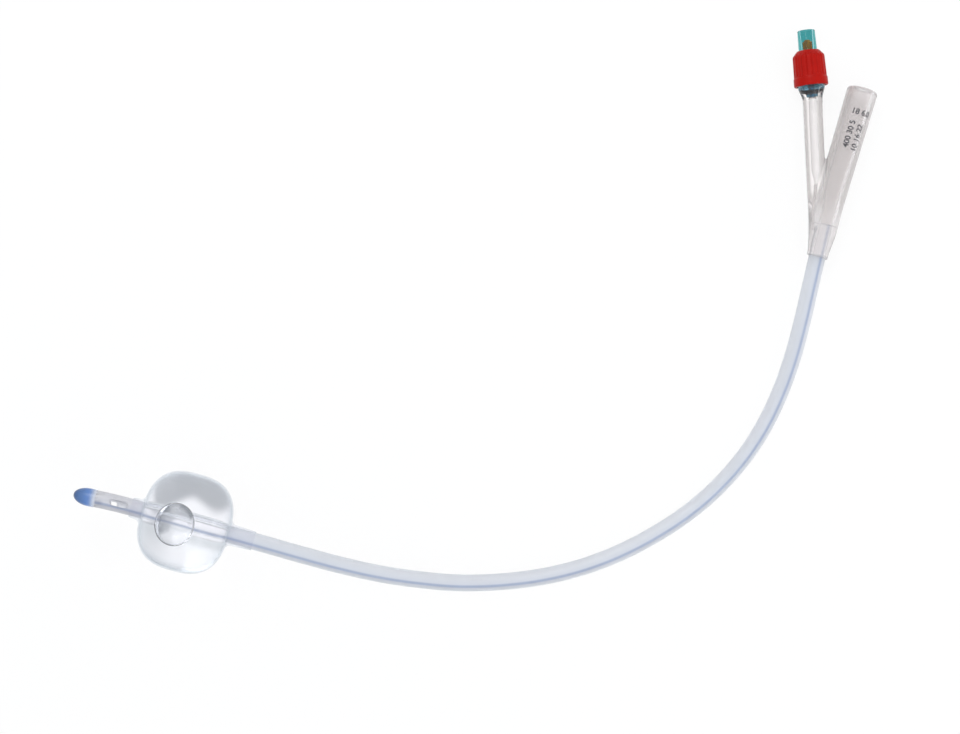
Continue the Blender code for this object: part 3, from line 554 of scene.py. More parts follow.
def clear_film(colour):
    """Silicone film 0.4 mm thick: almost clear, glossy at its edges, with a faint haze every few
    millimetres."""
    made, add, where = new_material("Stretched silicone film")
    haze = add("TexNoise", {"Vector": where, "Scale": waves(6.667), "Detail": 4.0})
    milk = add("MapRange", {"Value": haze, **span(0.3, 0.8, 0.01, 0.03)})
    facing = add("LayerWeight", {"Blend": 0.5}).outputs["Facing"]
    gloss = add("Math", {0: facing, 1: 6.0}, operation="POWER")
    share = add("Math", {0: gloss, 1: 0.45, 2: milk}, operation="MULTIPLY_ADD")
    slant = add("Math", {0: facing, 1: 3.0}, operation="POWER")
    depth = add("Mix", {0: slant, 6: linear("#fefeff"), 7: linear("#e6eaee")}, **COLOUR)
    passing = add("BsdfTransparent", {"Color": depth})
    skin = add("BsdfPrincipled", {"Base Color": linear(colour), "Roughness": 0.08})
    add("OutputMaterial", {"Surface": add("MixShader", {0: share, 1: passing, 2: skin})})
    return made


def still_water():
    """Water at rest, with the faint unevenness of what is dissolved in it. The film that it wets
    softens the edges of what its surface mirrors."""
    made, add, where = new_material("Still water")
    shade = drifting(add, where, 16.667, 1.0, linear("#fdfeff"), linear("#fbfcfd"))
    water = {"Base Color": shade, "Roughness": 0.14, "IOR": 1.333, "Transmission Weight": 1.0}
    add("OutputMaterial", {"Surface": add("BsdfPrincipled", water)})
    return made


def clear_plastic(name, colour, bend):
    """Styrene-butadiene plastic, injection moulded clear and dyed: glossy, with flow streaks. It
    bends light less than the typical 1.57, so that its thin walls stay clear."""
    made, add, where = new_material(name)
    shade = drifting(add, where, 2.857, 3.0, linear(colour), toned(colour, 1.12))
    plastic = {"Base Color": shade, "Roughness": 0.05, "IOR": bend, "Transmission Weight": 0.99}
    add("OutputMaterial", {"Surface": add("BsdfPrincipled", plastic)})
    return made


def moulded_plastic(name, colour, roughness, mottle):
    """Polypropylene, injection moulded and pigmented: even colour with slow flow marks, and a skin
    spark-eroded in the mould to a grain of a few tenths of a millimetre."""
    made, add, where = new_material(name)
    shade = drifting(add, where, 2.5, 4.0, toned(colour, 1 - mottle), linear(colour))
    grain = uneven_skin(add, where, 0.25, 0.3, 0.00004)
    plastic = {"Roughness": roughness, "IOR": 1.49, "Specular IOR Level": 0.11, "Normal": grain}
    shader = add("BsdfPrincipled", {"Base Color": shade, **plastic})
    add("OutputMaterial", {"Surface": shader})
    return made


def seal_rubber():
    """Black nitrile rubber, moulded: matt, with a dusty bloom."""
    made, add, where = new_material("Moulded nitrile rubber")
    shade = drifting(add, where, 0.6667, 3.0, linear("#1c1c1d"), linear("#3a3a3c"))
    shader = add("BsdfPrincipled", {"Base Color": shade, "Roughness": 0.6})
    add("OutputMaterial", {"Surface": shader})
    return made


def drawn_wire():
    """Stainless steel, drawn through a die: bright, with fine lines along the wire."""
    made, add, _ = new_material("Drawn stainless steel")
    surface = add("UVMap", uv_map="Surface")
    # 42 lines round the wire, each about 0.03 mm wide and 3 mm long.
    stretch = add("Mapping", {"Vector": surface, "Scale": (14.0, 6.0, 1.0)})
    lines = add("TexNoise", {"Vector": stretch, "Scale": 3.0})
    rough = add("MapRange", {"Value": lines, **span(0.0, 1.0, 0.15, 0.4)})
    steel = {"Base Color": linear("#c9c9c6"), "Metallic": 1.0, "Roughness": rough}
    add("OutputMaterial", {"Surface": add("BsdfPrincipled", steel)})
    return made


def pad_ink(colour):
    """Silicone ink, pad printed: matt, and thin where the pad lifted early."""
    made, add, where = new_material("Pad-printed ink")
    wear = add("TexNoise", {"Vector": where, "Scale": waves(0.2857), "Detail": 2.0})
    share = add("MapRange", {"Value": wear, **span(0.3, 0.62)})
    shade = add("Mix", {0: share, 6: toned(colour, 3.2, 0.05), 7: linear(colour)}, **COLOUR)
    shader = add("BsdfPrincipled", {"Base Color": shade, "Roughness": 0.55})
    add("OutputMaterial", {"Surface": shader})
    return made


class CATHETER_OT_stage(bpy.types.Operator):
    """Lays the pale floor, sets the soft light and places the camera above the catheter"""

    bl_idname = "catheter.stage"
    bl_label = "Stage"

    def execute(self, context):
        scene = context.scene
        scene.view_settings.view_transform = "Standard"
        height = 0.700
        seen_width = 0.3453
        camera = bpy.data.objects.new("Camera", bpy.data.cameras.new("Camera"))
        camera.data.sensor_width = 36.0
        camera.data.lens = 36.0 * height / seen_width
        camera.data.clip_start = 0.01
        camera.location = (0.0073, -0.0251, height)
        camera.rotation_euler = (0, 0, math.radians(16.5))
        scene.collection.objects.link(camera)
        scene.camera = camera
        make_floor(scene)
        make_room(scene)
        make_lamp(scene, "Key softbox", (-0.35, 0.55, 0.9), 0.45, 3.6)
        make_lamp(scene, "Fill softbox", (0.7, -0.5, 0.8), 0.6, 1.6)
        make_lamp(scene, "Side strip", (0.8, 0.15, 0.22), 0.3, 1.0)
        return {"FINISHED"}


def make_lamp(scene, name, place, size, power):
    lamp = bpy.data.objects.new(name, bpy.data.lights.new(name, "AREA"))
    lamp.data.shape = "SQUARE"
    lamp.data.size = size
    lamp.data.energy = power
    lamp.location = place
    lamp.rotation_euler = (-Vector(place)).to_track_quat("-Z", "Y").to_euler()
    scene.collection.objects.link(lamp)


def make_floor(scene):
    """White paper, plain to the camera. What looks at it through something clear sees it painted as
    lit from above, falling off to the grey of the room, with painted light and shade round the
    pieces."""
    half = 3.0
    level = -0.0002
    mesh = bpy.data.meshes.new("Floor")
    corners = [(-half, -half), (half, -half), (half, half), (-half, half)]
    mesh.from_pydata([(x, y, level) for x, y in corners], [], [(0, 1, 2, 3)])
    floor = bpy.data.objects.new("Floor", mesh)
    scene.collection.objects.link(floor)
    made, add, where = new_material("White paper")
    mesh.materials.append(made)
    rays = add("LightPath").outputs
    lit = add("BsdfDiffuse", {"Color": linear("#f4f4f4")})
    white = add("Emission", {"Color": (1, 1, 1, 1), "Strength": 1.0})
    shaded = add("MixShader", {0: 0.9, 1: lit, 2: white})
    direct = {0: rays["Is Camera Ray"], 1: rays["Is Glossy Ray"]}
    seen = add("Math", direct, operation="MAXIMUM")
    plain = add("MixShader", {0: seen, 1: lit, 2: shaded})
    # Painted light on the paper for what looks through clear pieces: it falls off from the middle
    # to the grey of the room.
    reach = add("VectorMath", {0: where}, operation="LENGTH")
    far = add("MapRange", {"Value": reach, **span(0.16, 0.6)}, **SMOOTH)
    paper = add("Mix", {0: far, 6: linear("#f3f4f6"), 7: linear("#8f9498")}, **COLOUR)
    dim = add("MixShader", {0: 0.3, 1: add("Emission", {"Color": paper}), 2: lit})
    through = light_under_pieces(add, where, dim)
    final = add("MixShader", {0: rays["Is Transmission Ray"], 1: plain, 2: through})
    add("OutputMaterial", {"Surface": final})


def light_under_pieces(add, where, through):
    """Painted light and shade on the paper under the clear pieces, in place of the paper's own
    light:
    the light that the balloon gathers with painted shade round it and the tube's painted shadow
    across it, a painted light strip under the arm, and a painted teal shadow under the valve's
    mouth.

    Each share rises smoothly from 0 to its most over a span in the floor's plane: of the distance
    from a place, of the distance along a level direction, or of how far that is from a middle.
    """
    shares = []
    for kind, x, y, middle, low, high, most in (
        # Outside the painted light that the balloon gathers, and outside the painted light and
        # shade under the balloon, the arm and the valve's mouth
        ("DISTANCE", -0.0775, -0.1106, None, 0.0054, 0.0072, 1.0),
        ("DISTANCE", -0.0763, -0.1067, None, 0.016, 0.0245, 1.0),
        ("DISTANCE", 0.0985, 0.0865, None, 0.022, 0.028, 1.0),
        ("DISTANCE", 0.0868, 0.1205, None, 0.0055, 0.0095, 1.0),
        # Well outside the gathered light, where the painted shade deepens, and towards the far side
        # and the left of the balloon, where painted shade falls
        ("DISTANCE", -0.0775, -0.1106, None, 0.0088, 0.0120, 1.0),
        ("DOT_PRODUCT", -0.5948, 0.8039, None, -0.0448, -0.0397, 1.0),
        ("DOT_PRODUCT", -0.9588, -0.2840, None, 0.1080, 0.1122, 0.3),
        # Off the tube's painted shadow along its line, and off the painted light strip along the
        # arm's line
        ("DOT_PRODUCT", 0.0, 1.0, -0.1107, 0.0004, 0.0034, 1.0),
        ("DOT_PRODUCT", 0.9455, 0.3256, 0.12268, 0.00015, 0.0007, 1.0),
    ):
        reach = add("VectorMath", {0: where, 1: (x, y, 0.0)}, operation=kind)
        if middle is not None:
            beside = add("Math", {0: reach, 1: middle}, operation="SUBTRACT")
            reach = add("Math", {0: beside}, operation="ABSOLUTE")
        rising = {"Value": reach, **span(low, high, 0.0, most)}
        shares.append(add("MapRange", rising, **SMOOTH))
    gathered, balloon, arm, mouth, beyond, far_side, left_painted_shade, off_tube_shadow, off_arm_light = shares
    # Painted shade: a crescent on the balloon's far side outside the light that it gathers, and a
    # lighter shade to its left.
    painted_crescent_shade = add("Math", {0: gathered, 1: far_side}, operation="MULTIPLY")
    dark = add("Math", {0: painted_crescent_shade, 1: left_painted_shade}, operation="MAXIMUM")
    # The painted pool under the balloon: gathered light with the tube's painted shadow across it,
    # and painted grey shade where the shade share falls, deeper farther out.
    bright = add("Mix", {0: off_tube_shadow, 6: linear("#dfe3e4"), 7: linear("#ffffff")}, **COLOUR)
    grey = add("Mix", {0: beyond, 6: linear("#b3b6b9"), 7: linear("#7d8186")}, **COLOUR)
    pool = add("Mix", {0: dark, 6: bright, 7: grey}, **COLOUR)
    # A painted light strip under the arm, with painted shade to each side of it.
    strip = add("Mix", {0: off_arm_light, 6: linear("#ffffff"), 7: linear("#b6b4b3")}, **COLOUR)
    # Painted teal shadow on the paper under the valve's mouth.
    painted_mouth_shadow = linear("#74bdb9")
    for outside, colour, strength in ((arm, strip, 1.2), (balloon, pool, 0.99), (mouth, painted_mouth_shadow, 1.0)):
        under = add("Emission", {"Color": colour, "Strength": strength})
        through = add("MixShader", {0: outside, 1: under, 2: through})
    return through


def make_room(scene):
    """A white room to the camera. Gloss and clear pieces see it darken towards the horizon."""
    world = bpy.data.worlds.new("Studio")
    scene.world = world
    world.use_nodes = True
    world.node_tree.nodes.clear()
    add = partial(add_node, world.node_tree)
    rays = add("LightPath").outputs
    where = add("TexCoord").outputs["Generated"]
    height = add("SeparateXYZ", {"Vector": where}).outputs["Z"]
    strength = add("MapRange", {"Value": height, **span(0.0, 0.7, 0.5, 0.95)}, **SMOOTH)
    room = add("Background", {"Color": linear("#f3f6fa"), "Strength": strength})
    white = add("Background", {"Color": (1, 1, 1, 1), "Strength": 1.0})
    final = add("MixShader", {0: rays["Is Camera Ray"], 1: room, 2: white})
    add("OutputWorld", {"Surface": final})


class CATHETER_OT_tube(bpy.types.Operator):
    """Sweeps the two-lumen tube with its eyes and its blue line along its route"""

    bl_idname = "catheter.tube"
    bl_label = "Tube"

    def execute(self, context):
        sizes = context.scene.catheter_sizes
        colours = context.scene.catheter_colours
        line = Centreline()
        rows, columns = 420, 72
        station = np.linspace(0, line.length, rows)
        outer = tube_rings(line, station, 0.0, sizes.tube_diameter / 2, columns)
        lumen = tube_rings(line, station, LUMEN_OFFSET, sizes.lumen_diameter / 2, columns)
        wall = shell(np.concatenate([outer, lumen[::-1]]), wrap_rows=True)
        # The small lumen that fills the balloon stops just inside both ends.
        channel_offset, channel_radius, channel_sides, short = -0.001955, 0.000425, 14, 0.001
        inner = np.linspace(short, line.length - short, rows)
        channel = tube_rings(line, inner, channel_offset, channel_radius, channel_sides)
        milky = {"colour": colours.silicone, "roughness": 0.3}
        materials = [
            milky_silicone("Extruded silicone", clear=0.45, line=colours.line, **milky),
            milky_silicone("Lumen wall", clear=0.8, **milky),
            milky_silicone(
                "Wetted silicone", "#f7f7f8", 0.97, 0.1, 1.06, "#8d9ab8", cloudy=0.01, halo=0.03
            ),
            milky_silicone(
                "Bonded silicone", "#fffefe", 0.985, 0.1, 1.01, colours.line, cloudy=0.005
            ),
            milky_silicone("Wet lumen wall", "#fffeff", 0.985, 0.2, 1.06, cloudy=0.005),
        ]
        numbers = wall_numbers(line, station, columns, sizes.balloon_length / 2)
        shells = [(wall, numbers), (shell(capped(channel), hollow=True), 1)]
        tube = make_piece("silicone_tube", shells, materials)
        cut_away(tube, [drainage_eye(line, 0.0082, -14, 1), drainage_eye(line, 0.0046, 14, -1)])
        tube.data.shade_smooth()
        tube.data.set_sharp_from_angle(angle=math.radians(40))
        # The lamps light what is in the tube and under it, as they do through real silicone.
        tube.visible_shadow = False
        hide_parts("tube", "xray_line")
        return {"FINISHED"}


def wall_numbers(line, station, columns, half):
    """Each face's material: 0 outside, 2 under water, 3 in the socket, and 1 in the lumen, or
    4 where the balloon or the socket lies round it."""
    rows = len(station)
    row = np.repeat(np.arange(2 * rows), columns)
    outside = row < rows - 1
    here = station[np.minimum(row, rows - 1)]
    wet = np.abs(here - BALLOON_STATION) < half - 0.0012
    bonded = here > line.length - SOCKET_DEPTH
    along = np.concatenate([station, station[::-1]])[row]
    deep = np.abs(along - BALLOON_STATION) < half
    deep |= along > line.length - SOCKET_DEPTH
    return np.where(outside, np.where(bonded, 3, np.where(wet, 2, 0)), np.where(deep, 4, 1))


def tube_rings(line, station, offset, radius, columns):
    """Circles square to the centreline, their centres offset outward from it."""
    point, outward, upward, _ = line.at(station)
    return (point + offset * outward)[:, None] + radius * around(outward, upward, columns)


def drainage_eye(line, distance, degrees, side):
    """A round-ended oval carried from the lumen out through one wall, flared where it leaves
    the tube, as a smoothed drainage eye is."""
    point, outward, upward, back = (a[0] for a in line.at(distance))
    turn = math.radians(degrees)
    facing = math.cos(turn) * upward * side + math.sin(turn) * outward
    across = np.cross(facing, back)
    t = 2 * np.pi * (np.arange(48) + 0.5) / 48
    half_length = 0.00275
    half_width = 0.00095
    straight = np.sign(np.cos(t)) * (half_length - half_width)
    ring = (half_width * np.cos(t) + straight)[:, None] * back
    ring = ring + (half_width * np.sin(t))[:, None] * across
    levels = np.array([0, 0, 0.0015, 0.00225, 0.0026, 0.0030, 0.0036, 0.0036])
    flare = np.array([0, 1, 1, 1, 1.06, 1.22, 1.5, 0])
    centres = point + LUMEN_OFFSET * outward + levels[:, None] * facing
    return centres[:, None] + flare[:, None, None] * ring


class CATHETER_OT_tip(bpy.types.Operator):
    """Turns the round blue nose that closes the tube's front end"""

    bl_idname = "catheter.tip"
    bl_label = "Tip"

    def execute(self, context):
        colours = context.scene.catheter_colours
        radius = 0.00315
        length = 0.0081
        rounding = 0.0055
        # It laps over the tube's end by a hair, and narrows by a little over its last stretch.
        lap, narrowing, stretch = 0.00005, 0.00013, 0.0016
        turn = np.linspace(0, np.pi / 2, 26)
        side = np.linspace(length - rounding, -lap, 14)[1:]
        taper = radius - narrowing * np.clip(1 - side / stretch, 0, 1) ** 2
        nose = [radius * np.sin(turn), length - rounding + rounding * np.cos(turn)]
        spigot = [(0.0013, -lap), (0.0013, -0.0011), (0.0011, -0.0014), (0.0, -0.0014)]
        profile = np.concatenate([np.column_stack(nose), np.column_stack([taper, side]), spigot])
        in_lumen = np.arange(len(profile)) >= len(profile) - len(spigot)
        matrix = Centreline().frame(0)
        grid = turned(profile, matrix, 64, shift=np.where(in_lumen, LUMEN_OFFSET, 0.0))
        made = blue_nose_silicone(colours.tip, colours.silicone)
        tip = make_piece("blue_tip", [(shell(grid), 0)], [made])
        places = np.empty(len(tip.data.vertices) * 3)
        tip.data.vertices.foreach_get("co", places)
        away = places.reshape(-1, 3) - np.array(matrix.translation)
        along = away @ np.array(matrix.col[2][:3])
        tip.data.attributes.new("Along", "FLOAT", "POINT").data.foreach_set("value", along)
        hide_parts("tip")
        return {"FINISHED"}


class CATHETER_OT_balloon(bpy.types.Operator):
    """Turns the balloon's film and the water in it, and leaves the air pocket under its top"""

    bl_idname = "catheter.balloon"
    bl_label = "Balloon"

    def execute(self, context):
        sizes = context.scene.catheter_sizes
        line = Centreline()
        radius = sizes.balloon_diameter / 2
        half = sizes.balloon_length / 2
        matrix = line.frame(BALLOON_STATION)
        columns = 112
        outside = balloon_sleeve(radius, half, CUFF_RADIUS, 0.0, 0.00038)
        inside = balloon_sleeve(radius - FILM, half - FILM, CUFF_RADIUS - FILM, 0.0003, 0.0)
        outer = rest_on_table(turned(outside, matrix, columns), 0.0)
        inner = rest_on_table(turned(inside, matrix, columns), FILM)
        film = shell(np.concatenate([outer, inner[::-1]]), wrap_rows=True)
        made = clear_film(context.scene.catheter_colours.film)
        skin = make_piece("balloon_skin", [(film, 0)], [made])
        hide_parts("balloon")
        inset = FILM + 0.00015
        size = (radius - inset, half - inset)
        barrel = balloon_barrel(np.linspace(0, np.pi, 120), *size)
        filling = shell(rest_on_table(turned(barrel, matrix, columns), inset))
        shells = [(filling, 0), (shell(air_pocket(matrix, size), hollow=True), 0)]
        water = make_piece("balloon_filling", shells, [still_water()])
        water.visible_shadow = False
        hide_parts("balloon_water")
        line.at(line.length - SOCKET_DEPTH)[0][0].tolist()
        line.at(np.linspace(0, line.length, 120))[0].tolist()
        return {"FINISHED"}


def balloon_barrel(t, radius, half):
    """A superellipse: the powered sine and cosine of t across and along."""
    power = 2 / BALLOON_FULLNESS
    across = radius * np.abs(np.sin(t)) ** power
    along = half * np.sign(np.cos(t)) * np.abs(np.cos(t)) ** power
    return np.column_stack([across, along])


def balloon_sleeve(radius, half, cuff, shorter, thin):
    """The barrel between its two cuffs, its ends drawn out along quarter circles to meet them.
    The cuffs get thinner towards their ends."""
    front_cuff, rear_cuff, fillet = 0.0040, 0.0090, 0.0016
    # How far the rows crowd towards the two cuffs: 0 not at all, 1 wholly.
    crowding = 0.85
    start = math.asin((cuff / radius) ** (BALLOON_FULLNESS / 2))
    share = np.linspace(0, 1, 150)
    share = share - crowding * np.sin(2 * np.pi * share) / (2 * np.pi)
    profile = balloon_barrel(start + (np.pi - 2 * start) * share, radius, half)
    rise = np.clip(fillet - (profile[:, 0] - cuff), 0, fillet)
    draw = fillet - np.sqrt(fillet**2 - rise**2)
    profile[:, 1] += np.sign(profile[:, 1]) * draw
    first, last = profile[[0, -1], 1]
    front = np.linspace(first + front_cuff - fillet - shorter, first, 8)[:-1]
    rear = np.linspace(last, last - rear_cuff + fillet + shorter, 16)[1:]
    ends = [
        np.column_stack([cuff - thin * np.linspace(1, 0, len(front)) ** 1.5, front]),
        np.column_stack([cuff - thin * np.linspace(0, 1, len(rear)) ** 1.5, rear]),
    ]
    return np.concatenate([ends[0], profile, ends[1]])


def rest_on_table(points, level):
    """Bears on the table: heights below the level go up to it, along a smoothed corner."""
    soft = 0.0002
    deep = points[..., 2] - level
    points[..., 2] = level + (deep + np.sqrt(deep**2 + soft**2)) / 2
    return points


def air_pocket(matrix, size):
    """A flat ellipsoid of air. Points that would leave the water come back along the line to
    the balloon's middle, by a smooth lesser of their own distance and the water's."""
    half_axes = (0.00755, 0.0038, 0.0069)
    below_top, forward, water_over = 0.0020, 0.0017, 0.0003
    sharpness = 30
    t = np.linspace(0, np.pi, 56)[:, None]
    u = round_turn(96)
    top = np.array(matrix.to_3x3().inverted() @ Vector((0, 0, size[0] - below_top)))
    centre = top + np.array((0, 0, forward))
    ball = [np.sin(t) * np.cos(u), np.cos(t) + 0 * u, np.sin(t) * np.sin(u)]
    points = centre + np.stack(ball, axis=-1) * half_axes
    across = np.hypot(points[..., 0], points[..., 1]) / size[0]
    along = np.abs(points[..., 2]) / size[1]
    full = (across**BALLOON_FULLNESS + along**BALLOON_FULLNESS) ** (1 / BALLOON_FULLNESS)
    over = full / (1 - water_over / size[0])
    return placed(points * ((1 + over**sharpness) ** (-1 / sharpness))[..., None], matrix)


class CATHETER_OT_moulding(bpy.types.Operator):
    """Fills the Y moulding as one blended solid and draws a net over its surface"""

    bl_idname = "catheter.moulding"
    bl_label = "Y moulding"

    def execute(self, context):
        colour = context.scene.catheter_colours.moulding
        self.prepare(Centreline())
        low = (0.0855, self.socket_y - 0.001, -0.0006)
        high = (0.1170, MOUTH_Y + 0.0100, 0.0127)
        grain = context.scene.catheter_sizes.moulding_grain
        vertices, faces, normals = surface_net(self.distance, low, high, grain)
        mesh = bpy.data.meshes.new("y_moulding_skin")
        mesh.from_pydata(vertices, [], faces.tolist())
        mesh.shade_smooth()
        mesh.normals_split_custom_set_from_vertices(normals.tolist())
        materials = [
            milky_silicone("Moulded silicone", colour, 0.8, 0.19, ripples=0.03),
            milky_silicone("Frosted bore", "#ffffff", 0.9, 0.3, 1.03),
            milky_silicone("Clear flared cup", colour, 0.97, 0.1, ripples=0.03),
        ]
        moulding = add_piece("y_moulding_skin", mesh, materials)
        middles = vertices[faces].mean(axis=1)
        bore = rod(middles, BRANCH, ARM_ANGLE, ((0,), (0.0012,)), 0.0195, 0.0498) < 0
        flare = rod(middles, ARM_END, VALVE_ANGLE, ((0,), (0.0056,)), -0.0003) < 0
        numbers = np.where(bore, 1, np.where(flare, 2, 0))
        mesh.polygons.foreach_set("material_index", numbers.astype(np.int32))
        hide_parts("y_moulding")
        return {"FINISHED"}

    def prepare(self, line):
        """Works out the funnel, its bore, the arm, the cup and the web as tables of place and
        radius, and the channel to the tube's small lumen as three points."""
        depths = SOCKET_DEPTH * np.array((1, 0.82, 0.54, 0.22))
        socket = line.at(line.length - depths)[0]
        self.socket_y = socket[0, 1]
        self.rear_y = line.points[-1, 1]
        rear_x = line.points[-1, 0]
        radii = (0.0037, 0.00382, 0.00429, 0.00482)
        funnel = [(p[1], p[0], r) for p, r in zip(socket, radii)]
        funnel += [(self.rear_y, 0.7 * rear_x + 0.3 * FUNNEL_X, 0.00506)]
        run = [(0.0660, 0.00522), *zip(*FUNNEL_RUN), (0.1120, 0.00545)]
        funnel += [(y, FUNNEL_X, r) for y, r in run]
        self.funnel = catmull_rom(funnel, 12).T
        bore = [(self.rear_y - 0.002, rear_x + 0.0004, 0.00190), (0.0625, 0.1108, 0.00205)]
        run = [(0.0710, 0.00247), (0.0861, 0.00291), (0.0944, 0.00310), (0.1086, 0.00350)]
        bore += [(y, FUNNEL_X, r) for y, r in run + [(0.1130, 0.00350)]]
        self.bore = catmull_rom(bore, 12).T
        arm = [(-0.0015, 0.0029), (0.010, 0.00323), (0.024, 0.00337), (0.0475, 0.00345)]
        self.arm = catmull_rom(arm + [(0.053, 0.00347)], 12).T
        cup = [(-0.002, 0.00345), (0.0004, 0.0036), (0.002, 0.00414), (0.0036, 0.00466)]
        self.cup = catmull_rom(cup + [(0.0045, 0.0048), (0.006, 0.0048), (0.015, 0.0048)], 12).T
        web = [(0.0070, 0.00270), (0.0096, 0.00259), (0.0192, 0.00214), (0.0241, 0.00172)]
        self.web = catmull_rom(web + [(0.0266, 0.00103), (0.0274, 0.00041)], 12).T
        station, outward, _, _ = (a[0] for a in line.at(line.length - 0.0022))
        opening = station - 0.0028 * outward
        bend = BRANCH + 0.4 * ARM_LENGTH * heading(ARM_ANGLE)
        middle = opening + 0.42 * (bend - opening) - 0.00045 * outward
        self.channel = (bend, middle, opening)

    def distance(self, points):
        """Rough distance outside the moulding. The funnel, arm, cup and web are each a radius along
        a line, joined by a smooth lesser, and the bores are cut out by a smooth greater."""
        x, y, z = points.T
        height = z - YOKE_HEIGHT
        funnel = np.hypot(x - np.interp(y, *self.funnel[:2]), height)
        funnel = funnel - np.interp(y, self.funnel[0], self.funnel[2])
        funnel = greater(funnel, self.socket_y - y, 0.0005)
        funnel = greater(funnel, y - MOUTH_Y, 0.0014)
        arm = rod(points, BRANCH, ARM_ANGLE, self.arm, -0.0015, 0.0515)
        rise = (points - ARM_END) @ heading(VALVE_ANGLE)
        cup = rod(points, ARM_END, VALVE_ANGLE, self.cup, -0.0015)
        cup = greater(cup, rise - 0.0136, 0.0005)
        web = rod(points, BRANCH, WEB_ANGLE, self.web, 0.0070, 0.0274)
        body = lesser(lesser(funnel, np.minimum(arm, cup), 0.0014), web, 0.0016)
        bore = np.hypot(x - np.interp(y, *self.bore[:2]), height)
        bore = bore - np.interp(y, self.bore[0], self.bore[2])
        bore = np.maximum(bore, self.rear_y - 0.0001 - y)
        seat = rod(points, ARM_END, VALVE_ANGLE, ((0,), (0.0037,)), 0.0052)
        channel_radius = 0.00045
        narrow = ((0.0205, 0.024), (channel_radius, 0.001))
        run = rod(points, BRANCH, ARM_ANGLE, narrow, 0.0200, 0.0506)
        hollow = np.minimum(np.minimum(bore, seat), run)
        for start, end in zip(self.channel[:-1], self.channel[1:]):
            whole = end - start
            share = np.clip((points - start) @ whole / (whole @ whole), 0, 1)
            near = np.linalg.norm(points - start - share[:, None] * whole, axis=1)
            hollow = np.minimum(hollow, near - channel_radius)
        return greater(body, -hollow, 0.0004)


def rod(points, origin, angle, table, low, high=np.inf):
    """Distance outside a round rod along a level line: the larger of the distance off the line less
    the radius that a table gives there, and the distances past its two flat ends."""
    away = points - origin
    along = away @ heading(angle)
    across = away @ np.cross(heading(angle), (0, 0, 1))
    side = np.hypot(across, away[:, 2]) - np.interp(along, *table)
    return np.maximum(side, np.maximum(along - high, low - along))


class CATHETER_OT_valve(bpy.types.Operator):
    """Turns the valve's body, plunger, seal, spring and spring cup"""

    bl_idname = "catheter.valve"
    bl_label = "Valve"

    def execute(self, context):
        colours = context.scene.catheter_colours
        teal = clear_plastic("Moulded clear teal plastic", colours.teal, 1.25)
        # The spring cup's colour is deeper than the body's teal: partly painted shade.
        cup_teal_painted_shade = clear_plastic("Teal plastic with painted shade", colours.cap, 1.12)
        body = [
            (0.0031, 0.0244), (0.0033, 0.0154), (0.0047, 0.0154), (0.0047, 0.0141),
            (0.0035, 0.0141), (0.0035, 0.0049), (0.0027, 0.0049), (0.0027, 0.0128),
            (0.00185, 0.0138), (0.00185, 0.0165), (0.00192, 0.0168), (0.00215, 0.0244),
        ]
        valve_piece("valve_shell", body, 0.00028, 96, teal, "teal_plastic", "valve_body")
        cup = [
            (0.0025, 0.0054), (0.0025, 0.0047), (0.0035, 0.0047), (0.0035, 0.0041),
            (0.0032, 0.0033), (0.0026, 0.0027), (0.0016, 0.0023), (0.00136, 0.0007),
            (0.0007, 0.0007), (0.0007, 0.0054),
        ]
        valve_piece("valve_cap", cup, 0.0002, 80, cup_teal_painted_shade, "teal_plastic", "spring_cup")
        seal = [(0.00195, 0.0134), (0.00245, 0.01284), (0.00245, 0.0126), (0.0013, 0.0126)]
        seal += [(0.0013, 0.0134)]
        rubber = seal_rubber()
        node = "valve_seal"
        valve_piece("plunger_seal", seal, 0.00012, 64, rubber, "dark_rubber", node, "plunger")
        make_stem(colours)
        make_spring()
        return {"FINISHED"}


def valve_piece(name, profile, corner, sides, made, slot, node, body="catheter"):
    """A closed profile carried round the valve's axis. What is clear casts no shadow, so the
    lamps light what is inside it, as they do through real plastic."""
    grid = turned(rounded(profile, corner), VALVE_FRAME, sides)
    piece = make_piece(name, [(shell(grid, wrap_rows=True), 0)], [made], body)
    piece.visible_shadow = slot != "teal_plastic"
    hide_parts(node)


def make_stem(colours):
    """A round core whose radius grows to a cross of four fins by the larger of the core's
    radius and the cross's, over the height of the fins."""
    core = np.array(
        [
            (0.0, 0.0209), (0.0008, 0.0209), (0.0011, 0.0206), (0.0011, 0.0203),
            (0.0011, 0.0202), (0.0011, 0.0141), (0.0011, 0.0140), (0.0011, 0.0125),
            (0.0012, 0.0124), (0.0022, 0.0124), (0.0023, 0.0123), (0.0023, 0.0115),
            (0.0022, 0.0114), (0.0009, 0.0114), (0.0009, 0.0081), (0.0005, 0.0076),
            (0.0, 0.0076),
        ]
    )
    core_radius, half_fin, fin_radius, sides = 0.0011, 0.0005, 0.00165, 160
    quarter = (round_turn(sides) + np.pi / 4) % (np.pi / 2) - np.pi / 4
    flank = half_fin / np.maximum(np.abs(np.sin(quarter)), 1e-3)
    fin = np.minimum(flank, fin_radius / np.cos(quarter))
    finned = (core[:, 1] < 0.02025) & (core[:, 1] > 0.01405)
    swell = np.where(finned[:, None], np.maximum(fin - core_radius, 0), 0)
    grid = turned(core, VALVE_FRAME, sides, swell=swell)
    made = moulded_plastic("Moulded orange-brown plastic", colours.stem, 0.35, 0.25)
    stem = make_piece("plunger_stem", [(shell(grid), 0)], [made], "plunger")
    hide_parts("valve_plunger")


